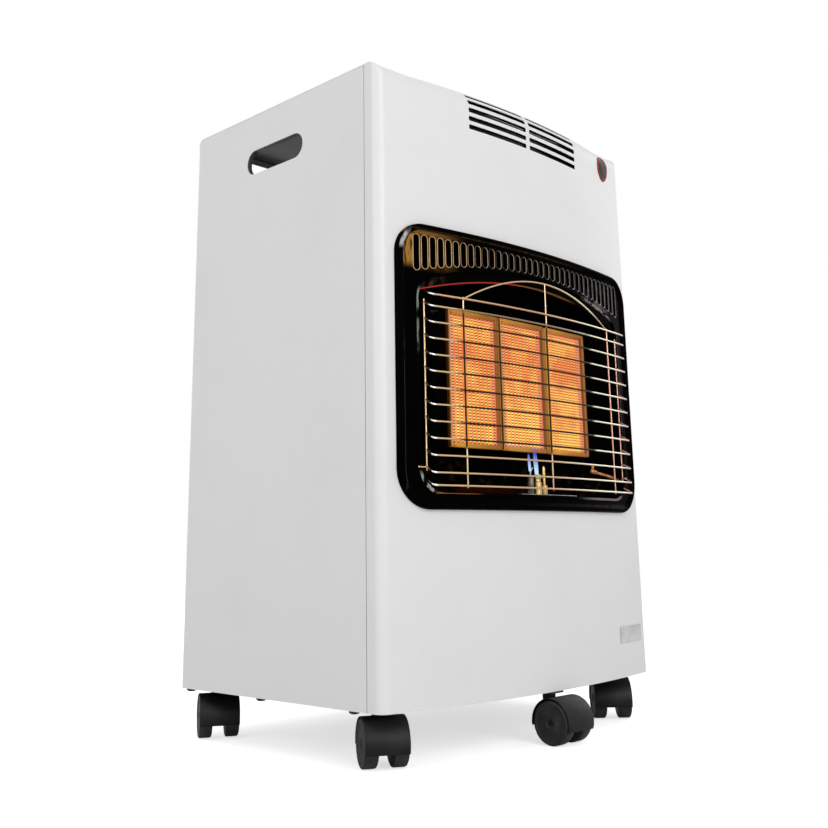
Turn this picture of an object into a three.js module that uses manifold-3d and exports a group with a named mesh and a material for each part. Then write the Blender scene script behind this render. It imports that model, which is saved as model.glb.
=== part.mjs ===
// Cabinet gas heater on castors, with three ceramic plaque burners behind a wire guard.
// Millimetres, +Z up. The heater faces -Y and stands on Z = 0, with its box centred on X = Y = 0.
// Inside this file Y = 0 is the seam between the side panels and the bowed front panel.

import * as THREE from 'three';
import { mergeVertices } from 'three/addons/utils/BufferGeometryUtils.js';
import Module from 'manifold-3d';

const wasm = await Module();
wasm.setup();

// Cabinet
const overallHeight = 715;
const cabinetWidth = 450;
const halfWidth = cabinetWidth / 2;
const sideDepth = 310;
const groundClearance = 52;
const sheet = 1;
const seatGap = 0.3;
const seamGap = 0.5;
const cutOverrun = 20;
const slabMargin = 1;
const joinOverlap = 1;
const frontSetback = 20;
const bowRise = 25;
const frontCornerRadius = 12;
const rollRadius = 27;
const rollEndRadius = 2.5;
const rollMargin = 3;
const flangeWidth = 12;
const trayLip = 14;
const rearEdgeRadius = 8;
const rearEdgeDrop = 3;

// Hand slots in the side panels
const handSlotLength = 104;
const handSlotHeight = 30;
const handSlotDrop = 61;
const handSlotLip = 7;

// Louvres in the roll at the top of the front panel
const louvreRows = 5;
const louvrePitch = 11.5;
const louvreHeight = 5;
const louvreLength = 96;
const louvreWeb = 9;
const louvreFirstBelowRoll = 22;

// Bezel round the burner opening
const bezelSideMargin = 19;
const bezelHalfWidth = halfWidth - bezelSideMargin;
const bezelBottom = 240;
const bezelTopRadius = 34;
const bezelBottomRadius = 40;
const rimWidth = 7;
const rimProud = 7;
const rimWall = 1.6;
const faceProud = 3;
const faceThickness = 1.4;
const openingSideMargin = 26;
const openingHalfWidth = bezelHalfWidth - openingSideMargin;
const openingSill = 16;
const openingBottom = bezelBottom + openingSill;
const openingSideHeight = 219;
const openingShoulder = openingBottom + openingSideHeight;
const openingArchRise = 28.5;
const openingCrown = openingShoulder + openingArchRise;
const openingCornerRadius = 30;
const openingShoulderRadius = 20;
const bezelHead = 62;
const bezelTop = openingShoulder + bezelHead;
const ventCount = 35;
const ventSideMargin = 22.2;
const ventWidth = 8.4;
const ventTopMargin = 5;
const ventBottomMargin = 3;
const ventBottomSag = 21;

// Black burner surround behind the bezel
const surroundDepthBehindFace = 1;
const surroundRun = 2;
const surroundRearY = 3;
const surroundRearInset = 40;
const surroundRearLift = 6;
const surroundRearCrownDrop = 18;
const windowClearance = 2.5;

// Wire guard
const wireRadius = 1.5;
const guardBarCount = 13;
const guardBottomMargin = 7.4;
const guardTopMargin = 16.6;
const guardBottomBar = openingBottom + guardBottomMargin;
const guardTopBar = openingShoulder - guardTopMargin;
const guardEndGap = 12.5;
const guardBarPitch = (guardTopBar - guardBottomBar - 2 * guardEndGap) / (guardBarCount - 3);
const guardSideMargin = 4;
const guardHalfLength = openingHalfWidth - guardSideMargin;
const guardProud = 16.5;
const guardEndBack = 11;
const guardEndIn = 3;
const guardEndUp = 6;
const guardUprightMargin = 49;
const guardUprightHalf = openingHalfWidth - guardUprightMargin;
const guardArchRise = 36;
const guardLegReach = 3;
const guardLegGap = 0.9;
const weldBite = 0.7;

// Burners
const burnerCount = 3;
const burnerRowMargin = 17;
const burnerRowHalf = openingHalfWidth - surroundRearInset - burnerRowMargin;
const burnerPitch = (2 * burnerRowHalf) / burnerCount;
const burnerFrameGap = 1;
const burnerFrameWidth = burnerPitch - burnerFrameGap;
const burnerFloorHeight = 50;
const burnerHeadroom = 20;
const burnerBottom = openingBottom + burnerFloorHeight;
const burnerFrameHeight = openingShoulder - burnerHeadroom - burnerBottom;
const burnerFaceY = -25.3;
const burnerFanAngle = THREE.MathUtils.degToRad(2.4);
const burnerFanSetback = 1.7;
const frameBorder = 5;
const frameDepth = 4;
const bodyMargin = 1.5;
const bodyDepth = 31;
const bodyWall = 1.2;
const plaqueThickness = 12;
const mixerRadius = 6;
const mixerBore = 4.8;
const mixerY = 13;
const mixerDrop = 20;
const mixerReach = 18;

// Injectors, their bracket and the gas pipes
const injectorHexRadius = 6;
const injectorHexHeight = 6;
const injectorTipRadius = 3;
const injectorTipHeight = 19;
const injectorStubRadius = 3.6;
const injectorStubLength = 8;
const bracketDrop = 42.8;
const bracketZ = burnerBottom - bracketDrop;
const bracketDepth = 18;
const pipeRadius = 2.5;
const pipeBackY = 26.5;
const pipeRise = 12;
const pipeLevelStep = 7;
const pipeDip = 14;

// Heat shield between the burners and the gas cylinder
const shieldY = 34;
const shieldTop = 600;
const shieldFlange = 12;

// Gas valve and controls on the top panel
const controlSideInset = 105;
const controlRearInset = 75;
const controlX = halfWidth - controlSideInset;
const controlY = sideDepth - controlRearInset;
const valveWidth = 44;
const valveDepth = 30;
const valveHeight = 34;
const valveNeckRadius = 9;
const valveNeckHeight = 22.7;
const portCount = 4;
const portPitch = valveWidth / portCount;
const spindleRadius = 3;
const spindleInsertion = 12;
const spindleFit = 0.4;
const collarRadius = 7;
const collarHeight = 4;
const collarTravelGap = 4.6;
const knobRadius = 20;
const knobHeight = 17;
const knobGripWidth = 9;
const knobGripHeight = 8;
const knobSkirt = 3;
const plateWidth = 150;
const plateDepth = 70;
const plateThickness = 2.4;
const plateCornerRadius = 10;
const piezoOffset = 86;
const piezoBodyRadius = 8;
const piezoBodyLength = 42;
const piezoButtonRadius = 6.5;
const piezoButtonProud = 9;
const piezoTravel = 6;
const piezoShankRadius = 3.5;
const piezoShankInset = 1;
const nozzleRadius = 6;
const nozzleLength = 34;
const nozzleHexRadius = 9;
const nozzleHexLength = 10;

// Pilot burner group
const pilotX = 12;
const pilotY = -28;
const pilotRadius = 5;
const pilotHeight = 22;
const pilotHoleGap = 1;
const pilotPlateLength = 100;
const pilotPlateDepth = 14;
const pilotPlateThickness = 1.5;
const pilotPlateOffset = 36;
const probeRadius = 2;
const probeHeight = 32;
const probeSpacing = 12;
const insulatorRadius = 3.5;
const insulatorHeight = 20;
const electrodeRadius = 1;
const electrodeHeight = 9;

// Rear cover
const coverHeight = 552;
const coverFlange = 10;
const coverSlotCount = 8;
const coverSlotLength = 150;
const coverSlotHeight = 6;
const coverSlotPitch = 18;
const coverSlotBase = 60;
const fingerSlotLength = 96;
const fingerSlotHeight = 24;
const fingerSlotDrop = 34;

// Blank plate at the lower right of the front
const namePlateWidth = 58;
const namePlateHeight = 19;
const namePlateInset = 47;
const namePlateX = halfWidth - namePlateInset;
const namePlateZ = 99.5;
const namePlateThickness = 0.8;

// Castors
const castorInset = 35;
const castorRightInset = 25;
const castorRearInset = 20;
const castorX = halfWidth - castorInset;
const castorFrontY = 21;
const castorRearY = sideDepth - castorRearInset;
const castorCentreX = 12;
const castorCentreY = -32;
const castorRightX = halfWidth - castorRightInset;
const castorRightY = 24;
const wheelRadius = 23;
const wheelWidth = 14.5;
const wheelEdge = 3;
const wheelHubRecess = 1.5;
const wheelGap = 15;
const wheelSideClearance = 0.5;
const axleRadius = 3;
const hubRadius = 6;
const axleFit = 0.35;
const hoodRadius = 24.8;
const hoodWall = 1.2;
const hoodStartAngle = THREE.MathUtils.degToRad(-8);
const hoodEndAngle = THREE.MathUtils.degToRad(198);
const castorTrail = 17;
const kingpinRadius = 4;
const kingpinFit = 0.35;
const kingpinLength = 20;
const neckClearance = 0.6;
const castorPlateSide = 22;
const castorPlateThickness = 2;

// Facets
const roundSegments = 16;
const smallRoundSegments = 8;
const hoodSegments = 9;
const wheelSegments = 14;
const ventSegments = 2;
const cornerSegments = 4;
const bowColumns = 12;
const barSteps = 8;
const archSteps = 12;
const wireSides = 4;
const hexSides = 6;
const pipeSides = 6;
const pipeSteps = 30;

// Derived places
const axleHeight = wheelRadius * Math.cos(Math.PI / wheelSegments);
const frontDepth = frontSetback + bowRise;
const trayTop = groundClearance + sheet + seatGap / 2;
const bodyWidth = burnerFrameWidth - 2 * bodyMargin;
const bodyHeight = burnerFrameHeight - 2 * bodyMargin;
const burnerMidZ = burnerBottom + burnerFrameHeight / 2;
const castorFootY = castorCentreY - castorTrail - hoodRadius;
const frontMost = Math.min(-frontDepth - guardProud - wireRadius, castorFootY);
const rearMost = sideDepth;

const white = { color: 0xe9e9e8, roughness: 0.32, metalness: 0.05 };
const enamel = { color: 0x0b0a0a, roughness: 0.12, metalness: 0.1 };
const blackSteel = { color: 0x161514, roughness: 0.45, metalness: 0.4 };
const plastic = { color: 0x17181a, roughness: 0.5, metalness: 0 };
const wheelPlastic = { color: 0x26282a, roughness: 0.55, metalness: 0 };
const goldWire = { color: 0xd8bf86, roughness: 0.25, metalness: 0.9 };
const zinc = { color: 0xb4b6b4, roughness: 0.4, metalness: 0.85 };
const ceramic = { color: 0xe88a3c, roughness: 0.9, metalness: 0 };
const frameGold = { color: 0xb9832c, roughness: 0.45, metalness: 0.7 };
const brass = { color: 0xb88a3c, roughness: 0.3, metalness: 0.9 };
const insulator = { color: 0xeeeae0, roughness: 0.3, metalness: 0 };

// The front surface, in plan: its centre stands furthest forward.
const bowBack = (x) => bowRise * (x / halfWidth) ** 2;
const frontY = (x) => -frontDepth + bowBack(x);

const root = new THREE.Group();
const heater = new THREE.Group();
heater.position.y = -(frontMost + rearMost) / 2;
root.add(heater);

function addMesh(parent, name, geometry, look) {
  const mesh = new THREE.Mesh(geometry, new THREE.MeshStandardMaterial(look));
  mesh.name = name;
  parent.add(mesh);
  return mesh;
}

// One vertex per place, without the triangles that this makes empty.
function welded(geometry) {
  const merged = mergeVertices(geometry);
  const index = Array.from(merged.index.array);
  const kept = [];
  for (let i = 0; i < index.length; i += 3) {
    const [a, b, c] = index.slice(i, i + 3);
    if (a !== b && b !== c && a !== c) kept.push(a, b, c);
  }
  return merged.setIndex(kept);
}

// A closed triangle mesh from points and faces, with its faces turned outwards.
function closedGeometry(points, faces) {
  const position = new Float32Array(points.length * 3);
  points.forEach((point, index) => point.toArray(position, index * 3));
  const raw = new THREE.BufferGeometry();
  raw.setAttribute('position', new THREE.BufferAttribute(position, 3));
  raw.setIndex(faces.flat());
  const merged = welded(raw);
  const kept = Array.from(merged.index.array);
  if (signedVolume(merged) < 0) {
    for (let i = 0; i < kept.length; i += 3) {
      [kept[i], kept[i + 1]] = [kept[i + 1], kept[i]];
    }
    merged.setIndex(kept);
  }
  return merged;
}

function signedVolume(geometry) {
  const corner = (index) => new THREE.Vector3().fromBufferAttribute(geometry.attributes.position, index);
  const index = geometry.index.array;
  let sum = 0;
  for (let i = 0; i < index.length; i += 3) {
    sum += corner(index[i]).dot(corner(index[i + 1]).cross(corner(index[i + 2])));
  }
  return sum / 6;
}

function toSolid(geometry) {
  const bare = geometry.clone();
  bare.deleteAttribute('normal');
  bare.deleteAttribute('uv');
  const merged = welded(bare);
  const vertProperties = new Float32Array(merged.attributes.position.array);
  const triVerts = new Uint32Array(merged.index.array);
  return new wasm.Manifold(new wasm.Mesh({ numProp: 3, vertProperties, triVerts }));
}

function toGeometry(solid) {
  const mesh = solid.getMesh();
  const geometry = new THREE.BufferGeometry();
  geometry.setAttribute('position', new THREE.BufferAttribute(new Float32Array(mesh.vertProperties), 3));
  geometry.setIndex(Array.from(mesh.triVerts));
  geometry.computeVertexNormals();
  return geometry;
}

const joined = (geometries) => geometries.map(toSolid).reduce((sum, next) => sum.add(next));
const union = (...geometries) => toGeometry(joined(geometries));
const cut = (base, ...tools) => toGeometry(tools.map(toSolid).reduce((sum, tool) => sum.subtract(tool), toSolid(base)));

// Box from its lowest and highest corners.
function block(x0, x1, y0, y1, z0, z1) {
  const geometry = new THREE.BoxGeometry(x1 - x0, y1 - y0, z1 - z0);
  return geometry.translate((x0 + x1) / 2, (y0 + y1) / 2, (z0 + z1) / 2);
}

const extrude = (shape, depth, curveSegments = cornerSegments) => new THREE.ExtrudeGeometry(shape, {
  depth,
  bevelEnabled: false,
  curveSegments,
});

// An outline in X and Z pushed along Y, one in Y and Z pushed along X, and one in X and Y pushed up.
const prismY = (shape, y0, y1, segments) => extrude(shape, y1 - y0, segments)
  .rotateX(Math.PI / 2).translate(0, y1, 0);
const yzPlane = new THREE.Matrix4().makeBasis(
  new THREE.Vector3(0, 1, 0), new THREE.Vector3(0, 0, 1), new THREE.Vector3(1, 0, 0));
const prismX = (shape, x0, x1, segments) => extrude(shape, x1 - x0, segments)
  .applyMatrix4(yzPlane).translate(x0, 0, 0);
const prismZ = (shape, z0, z1) => extrude(shape, z1 - z0).translate(0, 0, z0);

function roundedRect(x0, x1, y0, y1, radii) {
  const [lowLeft, lowRight, highRight, highLeft] = radii;
  const shape = new THREE.Shape();
  shape.moveTo(x0 + lowLeft, y0);
  shape.lineTo(x1 - lowRight, y0);
  shape.absarc(x1 - lowRight, y0 + lowRight, lowRight, -Math.PI / 2, 0, false);
  shape.lineTo(x1, y1 - highRight);
  shape.absarc(x1 - highRight, y1 - highRight, highRight, 0, Math.PI / 2, false);
  shape.lineTo(x0 + highLeft, y1);
  shape.absarc(x0 + highLeft, y1 - highLeft, highLeft, Math.PI / 2, Math.PI, false);
  shape.lineTo(x0, y0 + lowLeft);
  shape.absarc(x0 + lowLeft, y0 + lowLeft, lowLeft, Math.PI, 1.5 * Math.PI, false);
  return shape;
}

// A slot with round ends, centred on (x, y).
function stadium(x, y, length, height) {
  const radius = height / 2;
  const reach = length / 2 - radius;
  const shape = new THREE.Shape();
  shape.moveTo(x - reach, y - radius);
  shape.lineTo(x + reach, y - radius);
  shape.absarc(x + reach, y, radius, -Math.PI / 2, Math.PI / 2, false);
  shape.lineTo(x - reach, y + radius);
  shape.absarc(x - reach, y, radius, Math.PI / 2, 1.5 * Math.PI, false);
  return shape;
}

function cylinderZ(radius, z0, z1, x = 0, y = 0, segments = smallRoundSegments) {
  const geometry = new THREE.CylinderGeometry(radius, radius, z1 - z0, segments);
  return geometry.rotateX(Math.PI / 2).translate(x, y, (z0 + z1) / 2);
}

function cylinderX(radius, x0, x1, segments = smallRoundSegments) {
  const geometry = new THREE.CylinderGeometry(radius, radius, x1 - x0, segments);
  return geometry.rotateZ(-Math.PI / 2).translate((x0 + x1) / 2, 0, 0);
}

// Loft through closed rings of points, with flat ends.
function loft(rings, flatten) {
  const points = rings.flat();
  const size = rings[0].length;
  const faces = [];
  for (let i = 0; i + 1 < rings.length; i++) {
    for (let j = 0; j < size; j++) {
      const next = (j + 1) % size;
      const [a, b, c, d] = [i * size + j, i * size + next, (i + 1) * size + next, (i + 1) * size + j];
      faces.push([a, b, c], [a, c, d]);
    }
  }
  const contour = rings[0].map(flatten);
  const ends = THREE.ShapeUtils.triangulateShape(contour, []);
  if (THREE.ShapeUtils.isClockWise(contour)) ends.forEach((end) => end.reverse());
  const last = (rings.length - 1) * size;
  ends.forEach(([a, b, c]) => faces.push([a, c, b], [last + a, last + b, last + c]));
  return closedGeometry(points, faces);
}

// A slab that follows the bow of the front between two distances behind the front surface.
function bowedSlab(x0, x1, z0, z1, near, far) {
  const rings = [];
  for (let i = 0; i <= bowColumns; i++) {
    const x = x0 + ((x1 - x0) * i) / bowColumns;
    const y = frontY(x);
    const corners = [[near, z0], [far, z0], [far, z1], [near, z1]];
    rings.push(corners.map(([back, z]) => new THREE.Vector3(x, y + back, z)));
  }
  return loft(rings, (point) => new THREE.Vector2(point.y, point.z));
}

const intersection = (a, b) => toGeometry(toSolid(a).intersect(toSolid(b)));

function tube(curve, radius, sides, steps) {
  const section = new THREE.Shape();
  for (let i = 0; i < sides; i++) {
    const angle = (2 * Math.PI * i) / sides;
    const point = [radius * Math.cos(angle), radius * Math.sin(angle)];
    if (i === 0) section.moveTo(...point);
    else section.lineTo(...point);
  }
  section.closePath();
  return new THREE.ExtrudeGeometry(section, { steps, bevelEnabled: false, extrudePath: curve });
}

const curveThrough = (points) => new THREE.CatmullRomCurve3(
  points.map((point) => new THREE.Vector3(...point)), false, 'centripetal');

// Front panel: a bowed sheet that rolls back into the top, as a grid of outer and inner points.
function frontPanelShell() {
  const plan = frontPlan();
  const outer = plan.map(({ point, roll }) => frontColumn(point, roll, 0));
  const inner = plan.map(({ point, normal, roll }) => {
    const inset = point.clone().addScaledVector(normal, sheet);
    return frontColumn(inset, Math.max(roll - sheet, rollEndRadius - sheet), sheet);
  });
  return shellGeometry(outer, inner);
}

// Points along the plan outline from the left seam to the right seam, with inward normals.
function frontPlan() {
  const slope = Math.atan(2 * bowRise * (halfWidth - frontCornerRadius) / halfWidth ** 2);
  const sweep = Math.PI / 2 - slope;
  const centreX = -halfWidth + frontCornerRadius;
  const joinX = centreX - frontCornerRadius * Math.sin(slope);
  const centreY = frontY(joinX) + frontCornerRadius * Math.cos(slope);
  const left = [{
    point: new THREE.Vector2(-halfWidth, -seamGap),
    normal: new THREE.Vector2(1, 0),
    roll: rollEndRadius,
  }];
  for (let i = 0; i <= cornerSegments; i++) {
    const angle = Math.PI + (sweep * i) / cornerSegments;
    const normal = new THREE.Vector2(-Math.cos(angle), -Math.sin(angle));
    const centre = new THREE.Vector2(centreX, centreY);
    const point = centre.addScaledVector(normal, -frontCornerRadius);
    const share = i / cornerSegments;
    left.push({ point, normal, roll: rollEndRadius + share * (rollAt(joinX) - rollEndRadius) });
  }
  const middle = [];
  for (let i = 1; i < bowColumns; i++) {
    const x = joinX - (2 * joinX * i) / bowColumns;
    const steep = (2 * bowRise * x) / halfWidth ** 2;
    const normal = new THREE.Vector2(-steep, 1).normalize();
    middle.push({ point: new THREE.Vector2(x, frontY(x)), normal, roll: rollAt(x) });
  }
  const right = left.map(({ point, normal, roll }) => ({
    point: new THREE.Vector2(-point.x, point.y),
    normal: new THREE.Vector2(-normal.x, normal.y),
    roll,
  })).reverse();
  return [...left, ...middle, ...right];
}

const rollAt = (x) => Math.min(rollRadius, -frontY(x) - rollMargin);

// One upright line of the front panel: up the front, round the roll and back to the seam.
function frontColumn(point, roll, drop) {
  const top = overallHeight - drop;
  const column = [new THREE.Vector3(point.x, point.y, groundClearance)];
  for (let i = 0; i <= cornerSegments; i++) {
    const angle = (Math.PI / 2) * (i / cornerSegments);
    const y = point.y + roll * (1 - Math.cos(angle));
    column.push(new THREE.Vector3(point.x, Math.min(y, -seamGap), top - roll * (1 - Math.sin(angle))));
  }
  column.push(new THREE.Vector3(point.x, -seamGap, top));
  return column;
}

function shellGeometry(outer, inner) {
  const columns = outer.length;
  const rows = outer[0].length;
  const points = [...outer.flat(), ...inner.flat()];
  const at = (side, i, j) => side * columns * rows + i * rows + j;
  const faces = [];
  const quad = (a, b, c, d) => faces.push([a, b, c], [a, c, d]);
  for (let i = 0; i + 1 < columns; i++) {
    for (let j = 0; j + 1 < rows; j++) {
      quad(at(0, i, j), at(0, i + 1, j), at(0, i + 1, j + 1), at(0, i, j + 1));
      quad(at(1, i, j), at(1, i, j + 1), at(1, i + 1, j + 1), at(1, i + 1, j));
    }
    quad(at(0, i, 0), at(1, i, 0), at(1, i + 1, 0), at(0, i + 1, 0));
    quad(at(0, i, rows - 1), at(0, i + 1, rows - 1), at(1, i + 1, rows - 1), at(1, i, rows - 1));
  }
  for (let j = 0; j + 1 < rows; j++) {
    quad(at(0, 0, j), at(0, 0, j + 1), at(1, 0, j + 1), at(1, 0, j));
    quad(at(0, columns - 1, j), at(1, columns - 1, j), at(1, columns - 1, j + 1), at(0, columns - 1, j + 1));
  }
  return closedGeometry(points, faces);
}

// A cutter for one louvre, square to the sheet where it crosses it and bowed like the front.
function louvreCutter(x0, x1, row) {
  const arc = louvreFirstBelowRoll - row * louvrePitch;
  const angle = Math.max(arc, 0) / rollRadius;
  const below = Math.min(arc, 0);
  const away = new THREE.Vector2(-Math.cos(angle), Math.sin(angle));
  const along = new THREE.Vector2(Math.sin(angle), Math.cos(angle));
  const middle = new THREE.Vector2(rollRadius, overallHeight - rollRadius + below);
  middle.addScaledVector(away, rollRadius);
  const rings = [];
  for (let i = 0; i <= cornerSegments; i++) {
    const x = x0 + ((x1 - x0) * i) / cornerSegments;
    const spread = [[-1, -1], [1, -1], [1, 1], [-1, 1]];
    rings.push(spread.map(([out, up]) => {
      const place = middle.clone();
      place.addScaledVector(away, (out * rollRadius) / 4).addScaledVector(along, (up * louvreHeight) / 2);
      return new THREE.Vector3(x, frontY(x) + place.x, place.y);
    }));
  }
  return loft(rings, (point) => new THREE.Vector2(point.y, point.z));
}

const bezelOutline = (inset) => roundedRect(
  -bezelHalfWidth + inset,
  bezelHalfWidth - inset,
  bezelBottom + inset,
  bezelTop - inset,
  [bezelBottomRadius - inset, bezelBottomRadius - inset, bezelTopRadius - inset, bezelTopRadius - inset],
);

function frontPanel() {
  const tools = [prismY(bezelOutline(rimWidth - rimWall - seatGap), -frontDepth - cutOverrun, -seamGap)];
  for (let row = 0; row < louvreRows; row++) {
    tools.push(louvreCutter(-louvreWeb / 2 - louvreLength, -louvreWeb / 2, row));
    tools.push(louvreCutter(louvreWeb / 2, louvreWeb / 2 + louvreLength, row));
  }
  return cut(frontPanelShell(), ...tools);
}

function sidePanel(side) {
  const inner = halfWidth - sheet;
  const top = overallHeight - sheet - seatGap;
  const corner = rearEdgeRadius - sheet;
  const rear = sideDepth - sheet - seatGap;
  const outline = roundedRect(seamGap, rear, groundClearance, top, [sheet, sheet, corner, sheet]);
  const slotZ = overallHeight - handSlotDrop;
  const slot = stadium(sideDepth / 2, slotZ, handSlotLength, handSlotHeight);
  const lip = stadium(sideDepth / 2, slotZ, handSlotLength + 2 * sheet, handSlotHeight + 2 * sheet);
  const flangeBottom = trayTop + seatGap;
  const flangeTop = overallHeight - rearEdgeRadius - rearEdgeDrop - seatGap;
  const panel = joined([
    prismX(outline, inner, halfWidth),
    prismX(lip, halfWidth - handSlotLip, halfWidth),
    block(inner - flangeWidth, inner + sheet / 2, seamGap + sheet, rear, flangeBottom, flangeBottom + sheet),
    block(inner - flangeWidth, inner + sheet / 2, rear - sheet, rear, flangeBottom, flangeTop - sheet),
    block(inner - flangeWidth, inner + sheet / 2, seamGap, seamGap + sheet, flangeBottom, flangeTop - sheet),
  ]);
  const open = panel.subtract(toSolid(prismX(slot, halfWidth - cutOverrun, halfWidth + cutOverrun)));
  const geometry = toGeometry(open);
  return side > 0 ? geometry : mirrorX(geometry);
}

function mirrorX(geometry) {
  const mirrored = geometry.clone().scale(-1, 1, 1);
  const index = Array.from(mirrored.index.array);
  for (let i = 0; i < index.length; i += 3) {
    [index[i], index[i + 1]] = [index[i + 1], index[i]];
  }
  mirrored.setIndex(index);
  mirrored.computeVertexNormals();
  return mirrored;
}

// Top panel: flat, with a rounded rear edge, holes for the spindle and the igniter.
function topPanel() {
  const section = new THREE.Shape();
  const top = overallHeight;
  const edge = sideDepth - rearEdgeRadius;
  const low = top - rearEdgeRadius - rearEdgeDrop;
  section.moveTo(seamGap, top);
  section.lineTo(seamGap, top - sheet);
  section.lineTo(edge, top - sheet);
  section.absarc(edge, top - rearEdgeRadius, rearEdgeRadius - sheet, Math.PI / 2, 0, true);
  section.lineTo(sideDepth - sheet, low);
  section.lineTo(sideDepth, low);
  section.lineTo(sideDepth, top - rearEdgeRadius);
  section.absarc(edge, top - rearEdgeRadius, rearEdgeRadius, 0, Math.PI / 2, false);
  section.closePath();
  const hole = (radius, x) => cylinderZ(radius, top - cutOverrun, top + cutOverrun, x, controlY, roundSegments);
  return cut(
    prismX(section, -halfWidth, halfWidth),
    hole(spindleRadius + spindleFit + sheet, controlX),
    hole(piezoButtonRadius + spindleFit, controlX - piezoOffset),
  );
}

// Outline of the base in plan, inside the side panels and the front panel.
function trayOutline(inset) {
  const side = halfWidth - sheet - seatGap - inset;
  const rear = sideDepth - seatGap - inset;
  const cornerX = side - frontCornerRadius;
  const lineY = (x) => frontY(x) + 2 * sheet + seatGap + inset;
  const shape = new THREE.Shape();
  shape.moveTo(-side, rear);
  shape.lineTo(-side, lineY(cornerX) + frontCornerRadius);
  for (let i = 0; i <= bowColumns; i++) {
    const x = -cornerX + (2 * cornerX * i) / bowColumns;
    shape.lineTo(x, lineY(x));
  }
  shape.lineTo(side, lineY(cornerX) + frontCornerRadius);
  shape.lineTo(side, rear);
  shape.closePath();
  return shape;
}

function baseTray() {
  const floor = prismZ(trayOutline(0), groundClearance, trayTop - seatGap / 2);
  const lip = cut(
    prismZ(trayOutline(flangeWidth + 2 * seatGap), groundClearance, groundClearance + trayLip),
    prismZ(trayOutline(flangeWidth + 2 * seatGap + sheet), groundClearance - cutOverrun, overallHeight),
  );
  return union(floor, lip);
}

// Heat shield: an upright plate with side flanges, standing on the base tray.
function heatShield() {
  const side = halfWidth - sheet - flangeWidth - 3 * seatGap;
  const low = groundClearance + trayLip + seatGap;
  return union(
    block(-side, side, shieldY, shieldY + sheet, low, shieldTop),
    block(-side, -side + sheet, shieldY, shieldY + shieldFlange, low, shieldTop),
    block(side - sheet, side, shieldY, shieldY + shieldFlange, low, shieldTop),
    block(-side, side, shieldY, shieldY + shieldFlange, shieldTop - sheet, shieldTop),
  );
}

// The arched opening: round corners below, upright sides, rounded shoulders and a shallow arch.
function archOutline(half, bottom, shoulder, crown, grow) {
  const side = half + grow;
  const base = bottom - grow;
  const top = crown + grow;
  const radius = openingCornerRadius;
  const turn = side - openingShoulderRadius;
  const turnZ = shoulder + (top - shoulder) * (1 - (turn / side) ** 2);
  const shape = new THREE.Shape();
  shape.moveTo(-side + radius, base);
  shape.lineTo(side - radius, base);
  shape.absarc(side - radius, base + radius, radius, -Math.PI / 2, 0, false);
  shape.lineTo(side, shoulder - openingShoulderRadius);
  shape.quadraticCurveTo(side, shoulder, turn, turnZ);
  shape.quadraticCurveTo(0, 2 * top - turnZ, -turn, turnZ);
  shape.quadraticCurveTo(-side, shoulder, -side, shoulder - openingShoulderRadius);
  shape.lineTo(-side, base + radius);
  shape.absarc(-side + radius, base + radius, radius, Math.PI, 1.5 * Math.PI, false);
  return shape;
}

const bezelOpening = (grow) => archOutline(
  openingHalfWidth, openingBottom, openingShoulder, openingCrown, grow);

function ventShape(index) {
  const share = (2 * index) / (ventCount - 1) - 1;
  const x = share * (bezelHalfWidth - ventSideMargin);
  const top = bezelTop - rimWidth - ventTopMargin;
  const bottom = openingCrown + ventBottomMargin - ventBottomSag * share ** 2;
  const radius = ventWidth / 2;
  return roundedRect(x - radius, x + radius, bottom, top, [radius, radius, radius, radius]);
}

// Bezel: a raised rim on the front panel round a thin face with vents and the opening.
function bezel() {
  const slab = (front, back) => bowedSlab(
    -bezelHalfWidth - slabMargin, bezelHalfWidth + slabMargin,
    bezelBottom - slabMargin, bezelTop + slabMargin, front, back);
  const through = (shape, segments) => prismY(shape, -frontDepth - cutOverrun, cutOverrun, segments);
  const within = (front, back, inset) => toSolid(intersection(slab(front, back), through(bezelOutline(inset))));
  let solid = within(-rimProud, -seatGap, 0)
    .subtract(within(-cutOverrun, -faceProud, rimWidth))
    .subtract(within(faceThickness - faceProud, cutOverrun, rimWidth - rimWall))
    .subtract(toSolid(through(bezelOpening(0))));
  for (let i = 0; i < ventCount; i++) {
    solid = solid.subtract(toSolid(through(ventShape(i), ventSegments)));
  }
  return toGeometry(solid);
}

// Burner surround: a tapered recess of thin enamelled sheet with a window for the burners.
const surroundFrontBack = faceThickness + surroundDepthBehindFace - faceProud;

function surroundRings(grow, extraFront, rearY) {
  const near = surroundFrontBack - extraFront;
  const frontShape = bezelOpening(grow);
  const rearShape = archOutline(
    openingHalfWidth - surroundRearInset,
    openingBottom + surroundRearLift,
    openingShoulder - surroundRearLift,
    openingCrown - surroundRearCrownDrop,
    grow,
  );
  const toRing = (shape, place) => {
    const list = shape.getPoints(cornerSegments);
    if (list[0].distanceTo(list[list.length - 1]) < sheet / 100) list.pop();
    return list.map(({ x, y }) => new THREE.Vector3(x, place(x), y));
  };
  return [toRing(frontShape, (x) => frontY(x) + near), toRing(rearShape, () => rearY)];
}

function surroundFloor(y) {
  const front = surroundFrontBack - frontDepth;
  const share = (y - front) / (surroundRearY - front);
  return openingBottom - surroundRun + share * surroundRearLift;
}

function burnerSurround() {
  const flat = (point) => new THREE.Vector2(point.x, point.z);
  const shell = loft(surroundRings(surroundRun + sheet, 0, surroundRearY), flat);
  const hollow = loft(surroundRings(surroundRun, sheet, surroundRearY - sheet), flat);
  const half = burnerRowHalf + windowClearance;
  const window = block(
    -half, half, -cutOverrun, cutOverrun,
    burnerBottom - windowClearance, burnerBottom + burnerFrameHeight + windowClearance);
  const pipeHole = cylinderZ(pilotRadius + pilotHoleGap, openingBottom - cutOverrun, openingBottom + pilotHeight,
    pilotX, pilotY);
  return cut(shell, hollow, window, pipeHole);
}

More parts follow.
